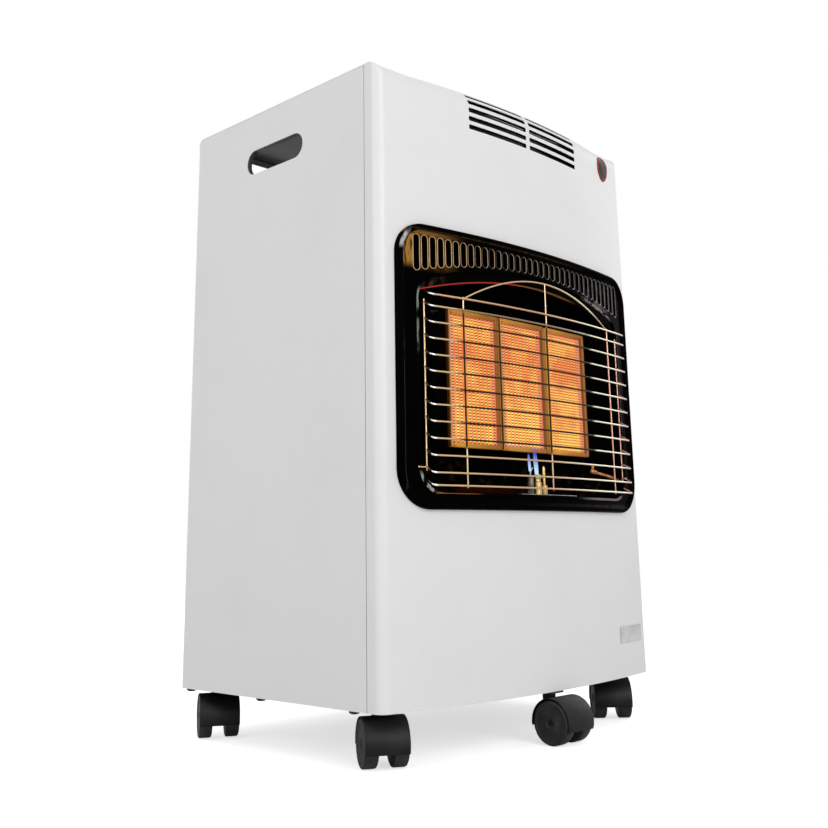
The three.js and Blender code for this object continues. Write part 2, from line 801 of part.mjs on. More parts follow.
// The first and the last gap between the guard's bars are narrower than the others.
function guardBarHeight(bar) {
  if (bar === 0) return guardBottomBar;
  if (bar === guardBarCount - 1) return guardTopBar;
  return guardBottomBar + guardEndGap + (bar - 1) * guardBarPitch;
}

// Wire guard: bowed bars with bent ends, uprights, end wires, an arch and four mounting legs.
function guardBar(z) {
  const points = [];
  const behind = frontY(guardHalfLength) - guardProud + guardEndBack;
  const tip = guardHalfLength - guardEndIn;
  points.push([-tip, behind, z + guardEndUp]);
  for (let i = 0; i <= barSteps; i++) {
    const x = -guardHalfLength + (2 * guardHalfLength * i) / barSteps;
    points.push([x, frontY(x) - guardProud, z]);
  }
  points.push([tip, behind, z + guardEndUp]);
  return tube(polyline(points), wireRadius, wireSides, points.length - 1);
}

// A path through points with its steps at the points themselves.
function polyline(points) {
  const corners = points.map((point) => new THREE.Vector3(...point));
  const path = new THREE.CurvePath();
  for (let i = 0; i + 1 < corners.length; i++) {
    path.add(new THREE.LineCurve3(corners[i], corners[i + 1]));
  }
  path.getPointAt = (share) => {
    const place = Math.min(share * (corners.length - 1), corners.length - 1);
    const index = Math.min(Math.floor(place), corners.length - 2);
    return corners[index].clone().lerp(corners[index + 1], place - index);
  };
  path.getTangentAt = (share) => {
    const place = Math.round(share * (corners.length - 1));
    const before = corners[Math.max(place - 1, 0)];
    const after = corners[Math.min(place + 1, corners.length - 1)];
    return after.clone().sub(before).normalize();
  };
  return path;
}

function guardUpright(x, z0, z1) {
  const y = frontY(x) - guardProud + 2 * wireRadius - weldBite;
  return tube(polyline([[x, y, z0], [x, y, z1]]), wireRadius, wireSides, 1);
}

function guardArch() {
  const points = [];
  for (let i = 0; i <= archSteps; i++) {
    const share = (2 * i) / archSteps - 1;
    const x = share * guardUprightHalf;
    const y = frontY(x) - guardProud + 2 * wireRadius - weldBite;
    points.push([x, y, guardTopBar + guardArchRise * (1 - share ** 2)]);
  }
  return tube(polyline(points), wireRadius, wireSides, archSteps);
}

function guardEndWire(side) {
  const tip = guardHalfLength - guardEndIn;
  const y = frontY(guardHalfLength) - guardProud + guardEndBack + weldBite;
  const z0 = guardBarHeight(1) + guardEndUp - 2 * wireRadius;
  const z1 = guardBarHeight(guardBarCount - 2) + guardEndUp + 2 * wireRadius;
  const x = side * tip;
  return tube(polyline([[x, y, z0], [x, y, z1]]), wireRadius, wireSides, 1);
}

// A leg carries on from a bar's end back to the bezel's face beside the opening.
function guardLeg(side, z) {
  const x = side * (guardHalfLength - guardEndIn);
  const start = frontY(guardHalfLength) - guardProud + guardEndBack - wireRadius;
  const reach = openingHalfWidth + guardLegReach;
  const end = frontY(reach) - faceProud - guardLegGap - wireRadius;
  const outside = side * reach;
  return tube(polyline([[x, start, z], [x, end, z], [outside, end, z]]), wireRadius, wireSides, 2);
}

function wireGuard() {
  const wires = [];
  for (let i = 0; i < guardBarCount; i++) {
    wires.push(guardBar(guardBarHeight(i)));
  }
  [-1, 1].forEach((side) => {
    const x = side * guardUprightHalf;
    wires.push(guardUpright(x, guardBottomBar - wireRadius, guardTopBar + wireRadius));
    wires.push(guardEndWire(side));
    [1, guardBarCount - 2].forEach((bar) => {
      wires.push(guardLeg(side, guardBarHeight(bar) + guardEndUp));
    });
  });
  wires.push(guardUpright(0, guardBottomBar - wireRadius, guardTopBar + guardArchRise));
  wires.push(guardArch());
  return union(...wires);
}

// Burner: a pressed tray with a mixing tube, a ceramic plaque in its mouth and a frame on its rim.
function burnerGroup(name, index) {
  const group = new THREE.Group();
  const fan = index * burnerFanAngle;
  group.position.set(index * burnerPitch, Math.abs(index) * burnerFanSetback, 0);
  group.rotation.z = fan;
  heater.add(group);
  addMesh(group, `burner_body_${name}`, burnerBody(), zinc);
  addMesh(group, `ceramic_plaque_${name}`, ceramicPlaque(), ceramic);
  addMesh(group, `plaque_frame_${name}`, plaqueFrame(), frameGold);
}

const rimY = burnerFaceY + frameDepth + seatGap;

function burnerBody() {
  const [half, low, high] = [bodyWidth / 2, burnerMidZ - bodyHeight / 2, burnerMidZ + bodyHeight / 2];
  const back = rimY + bodyDepth;
  const shell = joined([
    block(-half, half, rimY, back, low, high),
    cylinderZ(mixerRadius, low - mixerDrop, low + mixerReach, 0, mixerY),
  ]);
  const hollow = joined([
    block(-half + bodyWall, half - bodyWall, rimY - cutOverrun, back - bodyWall, low + bodyWall, high - bodyWall),
    cylinderZ(mixerBore, low - mixerDrop - cutOverrun, low + mixerReach - bodyWall, 0, mixerY),
  ]);
  return toGeometry(shell.subtract(hollow));
}

function ceramicPlaque() {
  const half = bodyWidth / 2 - bodyWall - seatGap;
  const tall = bodyHeight / 2 - bodyWall - seatGap;
  return block(-half, half, rimY, rimY + plaqueThickness, burnerMidZ - tall, burnerMidZ + tall);
}

function plaqueFrame() {
  const frame = (inset) => {
    const half = burnerFrameWidth / 2 - inset;
    const tall = burnerFrameHeight / 2 - inset;
    return [-half, half, burnerMidZ - tall, burnerMidZ + tall];
  };
  const [x0, x1, z0, z1] = frame(0);
  const [u0, u1, v0, v1] = frame(frameBorder);
  const back = burnerFaceY + frameDepth;
  return cut(
    block(x0, x1, burnerFaceY, back, z0, z1),
    block(u0, u1, burnerFaceY - cutOverrun, back + cutOverrun, v0, v1),
  );
}

// Where a burner's mixing tube stands, with the fan of the row.
function mixerPlace(index) {
  const turned = new THREE.Vector2(0, mixerY).rotateAround(new THREE.Vector2(), index * burnerFanAngle);
  return [index * burnerPitch + turned.x, Math.abs(index) * burnerFanSetback + turned.y];
}

const bracketTop = bracketZ + sheet;

function injector(index) {
  const [x, y] = mixerPlace(index);
  const base = bracketTop + seatGap;
  return union(
    cylinderZ(injectorHexRadius, base, base + injectorHexHeight, x, y, hexSides),
    cylinderZ(injectorTipRadius, base, base + injectorTipHeight, x, y),
    cylinderZ(injectorStubRadius, base - injectorStubLength, base + injectorHexHeight / 2, x, y),
  );
}

// The bracket's upright carries the burners on its top edge.
function burnerBracket() {
  const half = burnerRowHalf;
  const near = surroundRearY + seatGap;
  const holes = [-1, 0, 1].map((index) => {
    const [x, y] = mixerPlace(index);
    return cylinderZ(injectorStubRadius + seatGap, bracketZ - cutOverrun, bracketTop + cutOverrun, x, y);
  });
  const plate = joined([
    block(-half, half, near, near + bracketDepth, bracketZ, bracketTop),
    block(-half, half, near, near + sheet, bracketZ, burnerBottom + bodyMargin - seatGap),
  ]);
  return toGeometry(holes.reduce((solid, hole) => solid.subtract(toSolid(hole)), plate));
}

// Pipe from the valve's front port over the heat shield and down behind the burners.
function pipeStart(port) {
  const x = controlX + (port - (portCount - 1) / 2) * portPitch;
  const y = controlY - valveDepth / 2 - seatGap;
  const z = valveBottom + valveHeight / 2 - port * pipeLevelStep + pipeLevelStep;
  return [x, y, z];
}

const valveBottom = overallHeight - sheet - seatGap - valveNeckHeight - valveHeight;

function pipePath(port, x, finish) {
  const [startX, startY, startZ] = pipeStart(port);
  const level = shieldTop + pipeRise + (3 - port) * pipeLevelStep;
  const runY = shieldY + shieldFlange + 2 * pipeRise;
  return [
    [startX, startY, startZ],
    [startX, startY - pipeRise, startZ],
    [startX, startY - 3 * pipeRise, level],
    [startX, runY + pipeRise, level],
    [startX + (x - startX) / 8, runY, level],
    [x - (x - startX) / 8, runY, level],
    [x, runY - pipeRise, level],
    [x, pipeBackY + pipeRise, level],
    [x, pipeBackY, level - pipeRise],
    [x, pipeBackY, shieldTop - 4 * pipeRise],
    ...finish,
  ];
}

function feedPipe(index) {
  const [x, y] = mixerPlace(index);
  const end = bracketTop + seatGap - injectorStubLength - seatGap;
  const low = end - pipeDip;
  const middle = (pipeBackY + y) / 2;
  const finish = [
    [x, pipeBackY, end + pipeRise],
    [x, pipeBackY, end - pipeDip / 3],
    [x, middle, low],
    [x, y, end - pipeDip / 3],
    [x, y, end],
  ];
  return tube(curveThrough(pipePath(index + 1, x, finish)), pipeRadius, pipeSides, pipeSteps);
}

// The surround's floor rises towards the rear; the pilot's plate rests on it along its rear edge.
const pilotPlateZ = surroundFloor(pilotY + pilotPlateDepth / 2) + seatGap;
const pilotSeatZ = pilotPlateZ + pilotPlateThickness + seatGap;

function pilotPipe() {
  const x = burnerPitch / 2;
  const low = openingBottom - 2 * pipeRise;
  const finish = [
    [x, pipeBackY, bracketZ],
    [x, pipeBackY, low + pipeRise],
    [x, pipeBackY - pipeRise, low],
    [pilotX, pilotY + pipeRise, low],
    [pilotX, pilotY, low + pipeRise],
    [pilotX, pilotY, pilotSeatZ - seatGap],
  ];
  return tube(curveThrough(pipePath(3, x, finish)), pipeRadius, pipeSides, pipeSteps);
}

function pilotBracket() {
  const x0 = pilotX - pilotPlateOffset;
  const y0 = pilotY - pilotPlateDepth / 2;
  const z1 = pilotPlateZ + pilotPlateThickness;
  const plate = block(x0, x0 + pilotPlateLength, y0, y0 + pilotPlateDepth, pilotPlateZ, z1);
  return cut(plate,
    cylinderZ(pipeRadius + 2 * seatGap, pilotPlateZ - cutOverrun, z1 + cutOverrun, pilotX, pilotY));
}

function pilotBurner() {
  const [z, r] = [pilotSeatZ, pilotRadius];
  const profileShares = [[0, 0], [1, 0], [1, 0.3], [0.8, 0.36], [0.8, 0.7], [1, 0.76], [1, 0.9], [0.5, 1], [0, 1]];
  const profile = profileShares.map(([out, up]) => new THREE.Vector2(out * r, up * pilotHeight));
  const geometry = new THREE.LatheGeometry(profile, smallRoundSegments);
  return geometry.rotateX(Math.PI / 2).translate(pilotX, pilotY, z);
}

function thermocouple() {
  const x = pilotX + probeSpacing;
  return union(
    cylinderZ(probeRadius, pilotSeatZ, pilotSeatZ + probeHeight, x, pilotY),
    cylinderZ(2 * probeRadius, pilotSeatZ, pilotSeatZ + probeHeight / 3, x, pilotY, hexSides),
  );
}

function sparkElectrode() {
  const x = pilotX - probeSpacing;
  const top = pilotSeatZ + insulatorHeight;
  const pin = polyline([
    [x, pilotY, top - insulatorRadius],
    [x, pilotY, top + electrodeHeight / 2],
    [x + probeSpacing / 3, pilotY, top + electrodeHeight],
  ]);
  return union(
    cylinderZ(insulatorRadius, pilotSeatZ, top, x, pilotY),
    tube(pin, electrodeRadius, wireSides, 2),
  );
}

// Gas valve under the top panel, with a neck for the spindle and a nozzle for the hose.
function gasValve() {
  const neckTop = valveBottom + valveHeight + valveNeckHeight;
  const bodyBlock = block(
    controlX - valveWidth / 2, controlX + valveWidth / 2,
    controlY - valveDepth / 2, controlY + valveDepth / 2,
    valveBottom, valveBottom + valveHeight);
  const neck = cylinderZ(valveNeckRadius, valveBottom + valveHeight / 2, neckTop, controlX, controlY,
    roundSegments);
  const bore = cylinderZ(spindleRadius + spindleFit, neckTop - spindleInsertion - cutOverrun / 2,
    neckTop + cutOverrun, controlX, controlY, roundSegments);
  return toGeometry(joined([bodyBlock, neck]).subtract(toSolid(bore)));
}

function inletNozzle() {
  const y = controlY + valveDepth / 2 + seatGap;
  const z = valveBottom + valveHeight / 3;
  const profileShares = [[1, 0], [1, 0.3], [0.8, 0.34], [1, 0.46], [0.8, 0.5], [1, 0.62], [0.8, 0.66], [1, 0.78], [0.75, 1]];
  const bore = nozzleRadius / 2;
  const outside = profileShares.map(([out, along]) => new THREE.Vector2(out * nozzleRadius, along * nozzleLength));
  const inside = [new THREE.Vector2(bore, nozzleLength), new THREE.Vector2(bore, 0), outside[0].clone()];
  const barb = new THREE.LatheGeometry([...outside, ...inside], smallRoundSegments);
  const nut = new THREE.CylinderGeometry(nozzleHexRadius, nozzleHexRadius, nozzleHexLength, hexSides);
  nut.translate(0, nozzleHexLength / 2, 0);
  const drill = new THREE.CylinderGeometry(bore, bore, 2 * (nozzleLength + cutOverrun), smallRoundSegments);
  const solid = toSolid(barb).add(toSolid(nut)).subtract(toSolid(drill));
  return toGeometry(solid).translate(controlX, y, z);
}

const plateTop = overallHeight + seatGap + plateThickness;
const plateMidX = controlX - piezoOffset / 2;

function controlPlate() {
  const shape = roundedRect(
    plateMidX - plateWidth / 2, plateMidX + plateWidth / 2,
    controlY - plateDepth / 2, controlY + plateDepth / 2,
    [plateCornerRadius, plateCornerRadius, plateCornerRadius, plateCornerRadius]);
  const hole = (radius, x) => cylinderZ(
    radius, overallHeight - cutOverrun, plateTop + cutOverrun, x, controlY, roundSegments);
  return cut(
    prismZ(shape, overallHeight + seatGap, plateTop),
    hole(spindleRadius + spindleFit + sheet / 2, controlX),
    hole(piezoButtonRadius + spindleFit, controlX - piezoOffset),
  );
}

const neckTopZ = valveBottom + valveHeight + valveNeckHeight;
const collarZ = plateTop + collarTravelGap;
const knobZ = collarZ + collarHeight + seatGap;

// The spindle turns with the knob inside the collar, which carries both down when the knob is pressed.
function valveSpindle() {
  return cylinderZ(spindleRadius, neckTopZ - spindleInsertion, knobZ + knobHeight / 2, controlX, controlY,
    roundSegments);
}

function spindleCollar() {
  return cut(
    cylinderZ(collarRadius, collarZ, collarZ + collarHeight, controlX, controlY, roundSegments),
    cylinderZ(spindleRadius + spindleFit, collarZ - cutOverrun, knobZ + cutOverrun, controlX, controlY,
      roundSegments),
  );
}

function controlKnob() {
  const top = knobZ + knobHeight;
  const cap = new THREE.CylinderGeometry(knobRadius - knobSkirt, knobRadius, knobHeight - knobGripHeight, roundSegments);
  cap.rotateX(Math.PI / 2).translate(controlX, controlY, knobZ + (knobHeight - knobGripHeight) / 2);
  const half = knobRadius - knobSkirt;
  const grip = block(
    controlX - knobGripWidth / 2, controlX + knobGripWidth / 2,
    controlY - half, controlY + half, knobZ + knobSkirt, top);
  const bore = cylinderZ(spindleRadius + seatGap, knobZ - cutOverrun, knobZ + knobHeight / 2 + seatGap,
    controlX, controlY, roundSegments);
  return toGeometry(joined([cap, grip]).subtract(toSolid(bore)));
}

const piezoX = controlX - piezoOffset;
const piezoTop = overallHeight - sheet - seatGap;

function piezoIgniter() {
  const solid = toSolid(cylinderZ(piezoBodyRadius, piezoTop - piezoBodyLength, piezoTop, piezoX, controlY,
    roundSegments));
  const well = cylinderZ(piezoButtonRadius + spindleFit, piezoTop - piezoBodyLength / 2,
    piezoTop + cutOverrun, piezoX, controlY, roundSegments);
  return toGeometry(solid.subtract(toSolid(well)));
}

function piezoButton() {
  const top = plateTop + piezoButtonProud;
  const low = piezoTop - piezoTravel;
  return union(
    cylinderZ(piezoButtonRadius, low, top, piezoX, controlY, roundSegments),
    cylinderZ(piezoShankRadius, piezoTop - piezoBodyLength / 2 + piezoTravel + piezoShankInset,
      top - piezoShankInset, piezoX, controlY),
  );
}

// Rear cover: a lift-off sheet between the rear flanges, with a finger slot and low vents.
function rearCover() {
  const half = halfWidth - sheet - flangeWidth - 2 * seatGap;
  const back = sideDepth - seatGap;
  const front = back - sheet;
  const low = groundClearance + sheet + seatGap;
  const high = low + coverHeight;
  const flange = front - coverFlange;
  const tools = [];
  const slot = (z, length, height) => prismY(stadium(0, z, length, height), front - 2 * coverFlange, back + cutOverrun);
  for (let i = 0; i < coverSlotCount; i++) {
    tools.push(slot(low + coverSlotBase + i * coverSlotPitch, coverSlotLength, coverSlotHeight));
  }
  tools.push(slot(high - fingerSlotDrop, fingerSlotLength, fingerSlotHeight));
  const lipLow = groundClearance + trayLip + seatGap;
  const solid = joined([
    block(-half, half, front, back, low, high),
    block(-half, -half + sheet, flange, front + sheet / 2, lipLow, high),
    block(half - sheet, half, flange, front + sheet / 2, lipLow, high),
    block(-half, half, flange, front + sheet / 2, high - sheet, high),
  ]);
  return toGeometry(tools.reduce((sum, tool) => sum.subtract(toSolid(tool)), solid));
}

function namePlate() {
  const x0 = namePlateX - namePlateWidth / 2;
  const x1 = namePlateX + namePlateWidth / 2;
  return bowedSlab(x0, x1, namePlateZ - namePlateHeight / 2, namePlateZ + namePlateHeight / 2,
    -seatGap - namePlateThickness, -seatGap);
}

// Castor, in its own frame: the kingpin is the Z axis and the wheels trail behind it along -Y.
const castorPlateTop = groundClearance - seatGap;
const castorPlateBottom = castorPlateTop - castorPlateThickness;
const hoodTop = castorPlateBottom - neckClearance;

function castorStem() {
  const half = castorPlateSide / 2;
  return union(
    block(-half, half, -half, half, castorPlateBottom, castorPlateTop),
    cylinderZ(kingpinRadius, castorPlateBottom - kingpinLength, castorPlateBottom + joinOverlap, 0, 0),
  );
}

function castorHood() {
  const web = wheelGap / 2 - wheelSideClearance;
  const cover = wheelGap / 2 + wheelWidth;
  const arc = (outerRadius, innerRadius) => {
    const shape = new THREE.Shape();
    shape.absarc(0, 0, outerRadius, hoodStartAngle, hoodEndAngle, false);
    shape.absarc(0, 0, innerRadius, hoodEndAngle, hoodStartAngle, true);
    shape.closePath();
    return shape;
  };
  const place = (geometry) => geometry.translate(0, -castorTrail, axleHeight);
  const hood = place(prismX(arc(hoodRadius, hoodRadius - hoodWall), -cover, cover, hoodSegments));
  const rib = place(prismX(arc(hoodRadius - hoodWall / 2, axleRadius), -web, web, hoodSegments));
  const hub = place(cylinderX(hubRadius, -web, web, smallRoundSegments));
  const axle = place(cylinderX(axleRadius, -cover + wheelHubRecess, cover - wheelHubRecess, smallRoundSegments));
  const neckLow = castorPlateBottom - kingpinLength - hoodWall;
  const neck = cylinderZ(web, neckLow, hoodTop, 0, 0);
  const bore = cylinderZ(kingpinRadius + kingpinFit, castorPlateBottom - kingpinLength - seatGap,
    hoodTop + cutOverrun, 0, 0);
  return toGeometry(joined([hood, rib, hub, axle, neck]).subtract(toSolid(bore)));
}

function castorWheel(side) {
  const inner = wheelGap / 2;
  const bore = axleRadius + axleFit;
  const [r, w, e] = [wheelRadius, wheelWidth, wheelEdge];
  const face = w - wheelHubRecess;
  const profile = [
    [bore, 0], [r - e / 2, 0], [r, e / 2], [r, w - e / 2], [r - e / 2, w],
    [r - 2 * e, w], [r - 2 * e, face], [bore, face], [bore, 0],
  ].map(([out, along]) => new THREE.Vector2(out, along));
  const geometry = new THREE.LatheGeometry(profile, wheelSegments);
  geometry.rotateY(Math.PI / wheelSegments).rotateZ(-Math.PI / 2);
  geometry.translate(inner, -castorTrail, axleHeight);
  const solid = toGeometry(toSolid(geometry));
  return side > 0 ? solid : mirrorX(solid);
}

const castors = [
  { name: 'front_left', x: -castorX, y: castorFrontY, heading: -31 },
  { name: 'front_centre', x: castorCentreX, y: castorCentreY, heading: 0 },
  { name: 'front_right', x: castorRightX, y: castorRightY, heading: -45 },
  { name: 'rear_left', x: -castorX, y: castorRearY, heading: -30 },
  { name: 'rear_right', x: castorX, y: castorRearY, heading: 30 },
];

function addCastor({ name, x, y, heading }) {
  const group = new THREE.Group();
  group.position.set(x, y, 0);
  heater.add(group);
  addMesh(group, `castor_${name}_stem`, castorStem(), plastic);
  const turning = new THREE.Group();
  turning.rotation.z = THREE.MathUtils.degToRad(heading);
  group.add(turning);
  addMesh(turning, `castor_${name}_hood`, castorHood(), plastic);
  addMesh(turning, `castor_${name}_wheel_left`, castorWheel(-1), wheelPlastic);
  addMesh(turning, `castor_${name}_wheel_right`, castorWheel(1), wheelPlastic);
}

addMesh(heater, 'side_panel_left', sidePanel(-1), white);
addMesh(heater, 'side_panel_right', sidePanel(1), white);
addMesh(heater, 'front_panel', frontPanel(), white);
addMesh(heater, 'top_panel', topPanel(), white);
addMesh(heater, 'base_tray', baseTray(), white);
addMesh(heater, 'heat_shield', heatShield(), zinc);
addMesh(heater, 'burner_surround', burnerSurround(), blackSteel);
addMesh(heater, 'bezel', bezel(), enamel);
addMesh(heater, 'wire_guard', wireGuard(), goldWire);

['left', 'centre', 'right'].forEach((name, place) => {
  const index = place - 1;
  burnerGroup(name, index);
  addMesh(heater, `injector_${name}`, injector(index), brass);
  addMesh(heater, `feed_pipe_${name}`, feedPipe(index), brass);
});

addMesh(heater, 'burner_bracket', burnerBracket(), zinc);
addMesh(heater, 'pilot_pipe', pilotPipe(), brass);
addMesh(heater, 'pilot_bracket', pilotBracket(), zinc);
addMesh(heater, 'pilot_burner', pilotBurner(), brass);
addMesh(heater, 'thermocouple', thermocouple(), brass);
addMesh(heater, 'spark_electrode', sparkElectrode(), insulator);
addMesh(heater, 'gas_valve', gasValve(), zinc);
addMesh(heater, 'inlet_nozzle', inletNozzle(), brass);
addMesh(heater, 'control_plate', controlPlate(), plastic);
addMesh(heater, 'valve_spindle', valveSpindle(), zinc);
addMesh(heater, 'spindle_collar', spindleCollar(), zinc);
addMesh(heater, 'control_knob', controlKnob(), plastic);
addMesh(heater, 'piezo_igniter', piezoIgniter(), plastic);
addMesh(heater, 'piezo_button', piezoButton(), wheelPlastic);
addMesh(heater, 'rear_cover', rearCover(), white);
addMesh(heater, 'name_plate', namePlate(), white);
castors.forEach(addCastor);

export default root;
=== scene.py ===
# %% [markdown]
# # A gas heater on castors
#
# The real thing is a white steel cabinet for a gas cylinder, with three glowing ceramic plaques
# behind a wire guard. The solid model of it is already made. This script dresses that model for
# the camera: it swaps plain solids for finer surfaces and gives every part a finish.
# The frame is loaded first. The dressed heater must stay that size.

# %% Load the frame
import bmesh
import bpy
import numpy as np
from mathutils import Matrix, Vector
from mathutils.geometry import delaunay_2d_cdt


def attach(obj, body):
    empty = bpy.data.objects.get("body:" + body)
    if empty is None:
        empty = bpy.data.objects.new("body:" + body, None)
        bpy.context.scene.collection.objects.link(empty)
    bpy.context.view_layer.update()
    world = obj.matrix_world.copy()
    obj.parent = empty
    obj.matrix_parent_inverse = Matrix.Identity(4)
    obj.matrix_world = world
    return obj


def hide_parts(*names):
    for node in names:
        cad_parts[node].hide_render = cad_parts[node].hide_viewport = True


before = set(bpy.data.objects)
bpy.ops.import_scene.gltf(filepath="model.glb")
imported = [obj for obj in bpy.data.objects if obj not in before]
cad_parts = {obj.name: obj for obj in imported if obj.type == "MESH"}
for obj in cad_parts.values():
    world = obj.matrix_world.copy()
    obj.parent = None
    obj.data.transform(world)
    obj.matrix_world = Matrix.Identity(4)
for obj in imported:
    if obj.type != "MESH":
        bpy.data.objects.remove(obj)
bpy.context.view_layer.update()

# %% [markdown]
# ## Camera
#
# A camera is a position, a direction and a lens. The heater is seen from its front left corner,
# from low down, so the camera looks up a little. Three angles give the direction, and a small
# vertical shift of the lens moves the picture down without tilting the camera further.

# %% Camera
CAMERA_PLACE = (-0.95518, -0.90606, 0.20444)     # metres
CAMERA_TURN = (-45.53, 13.49, -0.92)             # yaw, pitch and roll in degrees
SENSOR, LENS, SHIFT_UP = 36.0, 46.517, -0.150    # millimetres, millimetres, share of the frame


def camera_axes(yaw, pitch, roll):
    """Right, up and back directions of a camera turned about +Z, then tilted up, then rolled."""
    turn, tilt, lean = np.radians([yaw, pitch, roll])
    ahead = np.array([-np.sin(turn) * np.cos(tilt), np.cos(turn) * np.cos(tilt), np.sin(tilt)])
    level = np.array([np.cos(turn), np.sin(turn), 0.0])
    above = np.cross(level, ahead)
    right = np.cos(lean) * level + np.sin(lean) * above
    return right, np.cos(lean) * above - np.sin(lean) * level, -ahead


camera = bpy.data.objects.new("camera", bpy.data.cameras.new("camera"))
camera.data.sensor_width, camera.data.lens, camera.data.shift_y = SENSOR, LENS, SHIFT_UP
facing = Matrix(np.column_stack(camera_axes(*CAMERA_TURN)).tolist()).to_4x4()
camera.matrix_world = Matrix.Translation(CAMERA_PLACE) @ facing
bpy.context.scene.collection.objects.link(camera)
bpy.context.scene.camera = camera
print("camera at", tuple(round(c, 3) for c in camera.location))

# %% [markdown]
# ## Shader maths
#
# A finish is a small graph of nodes. Written node by node it is long and hard to read, so one
# class wraps an output socket and gives it the signs of arithmetic, and another holds the material.
# Values that stay the same all over a part are set on the shader itself. Only what varies is linked.

# %% Links and finishes
def join(tree, socket, value):
    """Give a socket a link or a plain value."""
    if isinstance(value, Link):
        tree.links.new(value.socket, socket)
    else:
        socket.default_value = value


class Link:
    """An output socket that can be added, multiplied and compared like a number."""

    def __init__(self, tree, socket):
        self.tree, self.socket = tree, socket

    def maths(self, operation, *values):
        """A Math node on these values, which may be links or numbers."""
        node = self.tree.nodes.new("ShaderNodeMath")
        node.operation = operation
        for socket, value in zip(node.inputs, values):
            join(self.tree, socket, value)
        return Link(self.tree, node.outputs[0])

    def __add__(self, other):
        return self.maths("ADD", self, other)

    def __sub__(self, other):
        return self.maths("SUBTRACT", self, other)

    def __rsub__(self, other):
        return self.maths("SUBTRACT", other, self)

    def __mul__(self, other):
        return self.maths("MULTIPLY", self, other)

    def __pow__(self, other):
        return self.maths("POWER", self, other)

    __radd__ = __add__
    __rmul__ = __mul__

    def cosine(self):
        """Cosine of an angle in radians, a wave between -1 and 1."""
        return self.maths("COSINE", self)

    def size(self):
        """The value without its sign."""
        return self.maths("ABSOLUTE", self)

    def least(self, other):
        """The smaller of two values."""
        return self.maths("MINIMUM", self, other)

    def most(self, other):
        """The larger of two values."""
        return self.maths("MAXIMUM", self, other)

    def rise(self, low, high):
        """0 below low, 1 above high, and a smooth step between them."""
        node = self.tree.nodes.new("ShaderNodeMapRange")
        node.interpolation_type = "SMOOTHSTEP"
        for socket, value in zip(node.inputs, (self, low, high, 0.0, 1.0)):
            join(self.tree, socket, value)
        return Link(self.tree, node.outputs[0])

    def fall(self, low, high):
        """1 below low, 0 above high, and a smooth step between them."""
        return 1.0 - self.rise(low, high)

    def band(self, start, full, fade, end):
        """0 below start, 1 from full to fade, and 0 above end."""
        return self.rise(start, full) * self.fall(fade, end)


# The bowed front as the shader sees it, in metres: y = BOW_CURVE * x * x - BOW_FRONT.
BOW_CURVE, BOW_FRONT = 0.49383, 0.1631


class Finish:
    """A material whose constants sit on the shader's sockets and whose varying inputs are linked."""

    def __init__(self, name, **constants):
        self.material = bpy.data.materials.new(name)
        self.material.use_nodes = True
        self.tree = self.material.node_tree
        self.shader = self.tree.nodes["Principled BSDF"]
        for socket, value in constants.items():
            self.shader.inputs[socket.replace("_", " ")].default_value = value

    def node(self, kind, settings, inputs, out=0):
        """Any other node: its settings first, then the values or links of its sockets."""
        node = self.tree.nodes.new(kind)
        for key, value in settings.items():
            setattr(node, key, value)
        for key, value in inputs.items():
            join(self.tree, node.inputs[key], value)
        return Link(self.tree, node.outputs[out])

    def place(self):
        """The point's place in the frame, in metres."""
        return self.node("ShaderNodeTexCoord", {}, {}, "Object")

    def axis(self, name):
        """One coordinate of the point's place."""
        return self.node("ShaderNodeSeparateXYZ", {}, {0: self.place()}, name)

    def proud(self):
        """Distance in front of the bowed front, in metres: the bow is a parabola in x."""
        return self.axis("X") ** 2.0 * BOW_CURVE - self.axis("Y") - BOW_FRONT

    def within(self, step, start):
        """Sideways distance from the middle of the nearest of several equal strips."""
        along = self.axis("X") - start
        return along.maths("FLOORED_MODULO", along, step) - step / 2

    def noise(self, scale, detail=2.0, stretch=(1.0, 1.0, 1.0)):
        """Cloudy values round 0.5; scale is in blobs per metre."""
        spread = self.node("ShaderNodeVectorMath", {"operation": "MULTIPLY"}, {0: self.place(), 1: stretch})
        return self.node("ShaderNodeTexNoise", {}, {"Vector": spread, "Scale": scale, "Detail": detail})

    def mix(self, share, first, second):
        """A colour between two colours; sockets 6 and 7 and output 2 of the node are its colour ones."""
        first, second = [c if isinstance(c, Link) else (*c, 1.0) for c in (first, second)]
        return self.node("ShaderNodeMix", {"data_type": "RGBA"}, {0: share, 6: first, 7: second}, 2)

    def layers(self, colour, *tints):
        """Lay tints over a colour in turn, each a pair of its mask and its own colour."""
        for mask, tint in tints:
            colour = self.mix(mask, colour, tint)
        return colour

    def bump(self, height, distance, strength=1.0):
        """Light and shade of a height map; distance is the relief in metres."""
        return self.node("ShaderNodeBump", {}, {"Height": height, "Distance": distance, "Strength": strength})

    def feed(self, **links):
        """Link inputs of the shader; a _ in a name stands for a space."""
        for socket, link in links.items():
            join(self.tree, self.shader.inputs[socket.replace("_", " ")], link)
        return self


# %% [markdown]
# ## Floor, backdrop and lamps
#
# The photograph has no surroundings, only white. The world is white wherever the camera or a
# reflection looks, and weaker where it lights the heater, so that paint renders about as written.
# The floor adds a little light of its own for the camera only, which hides its far edge
# but keeps the soft shadow under the castors. Large soft lamps shape the cabinet.

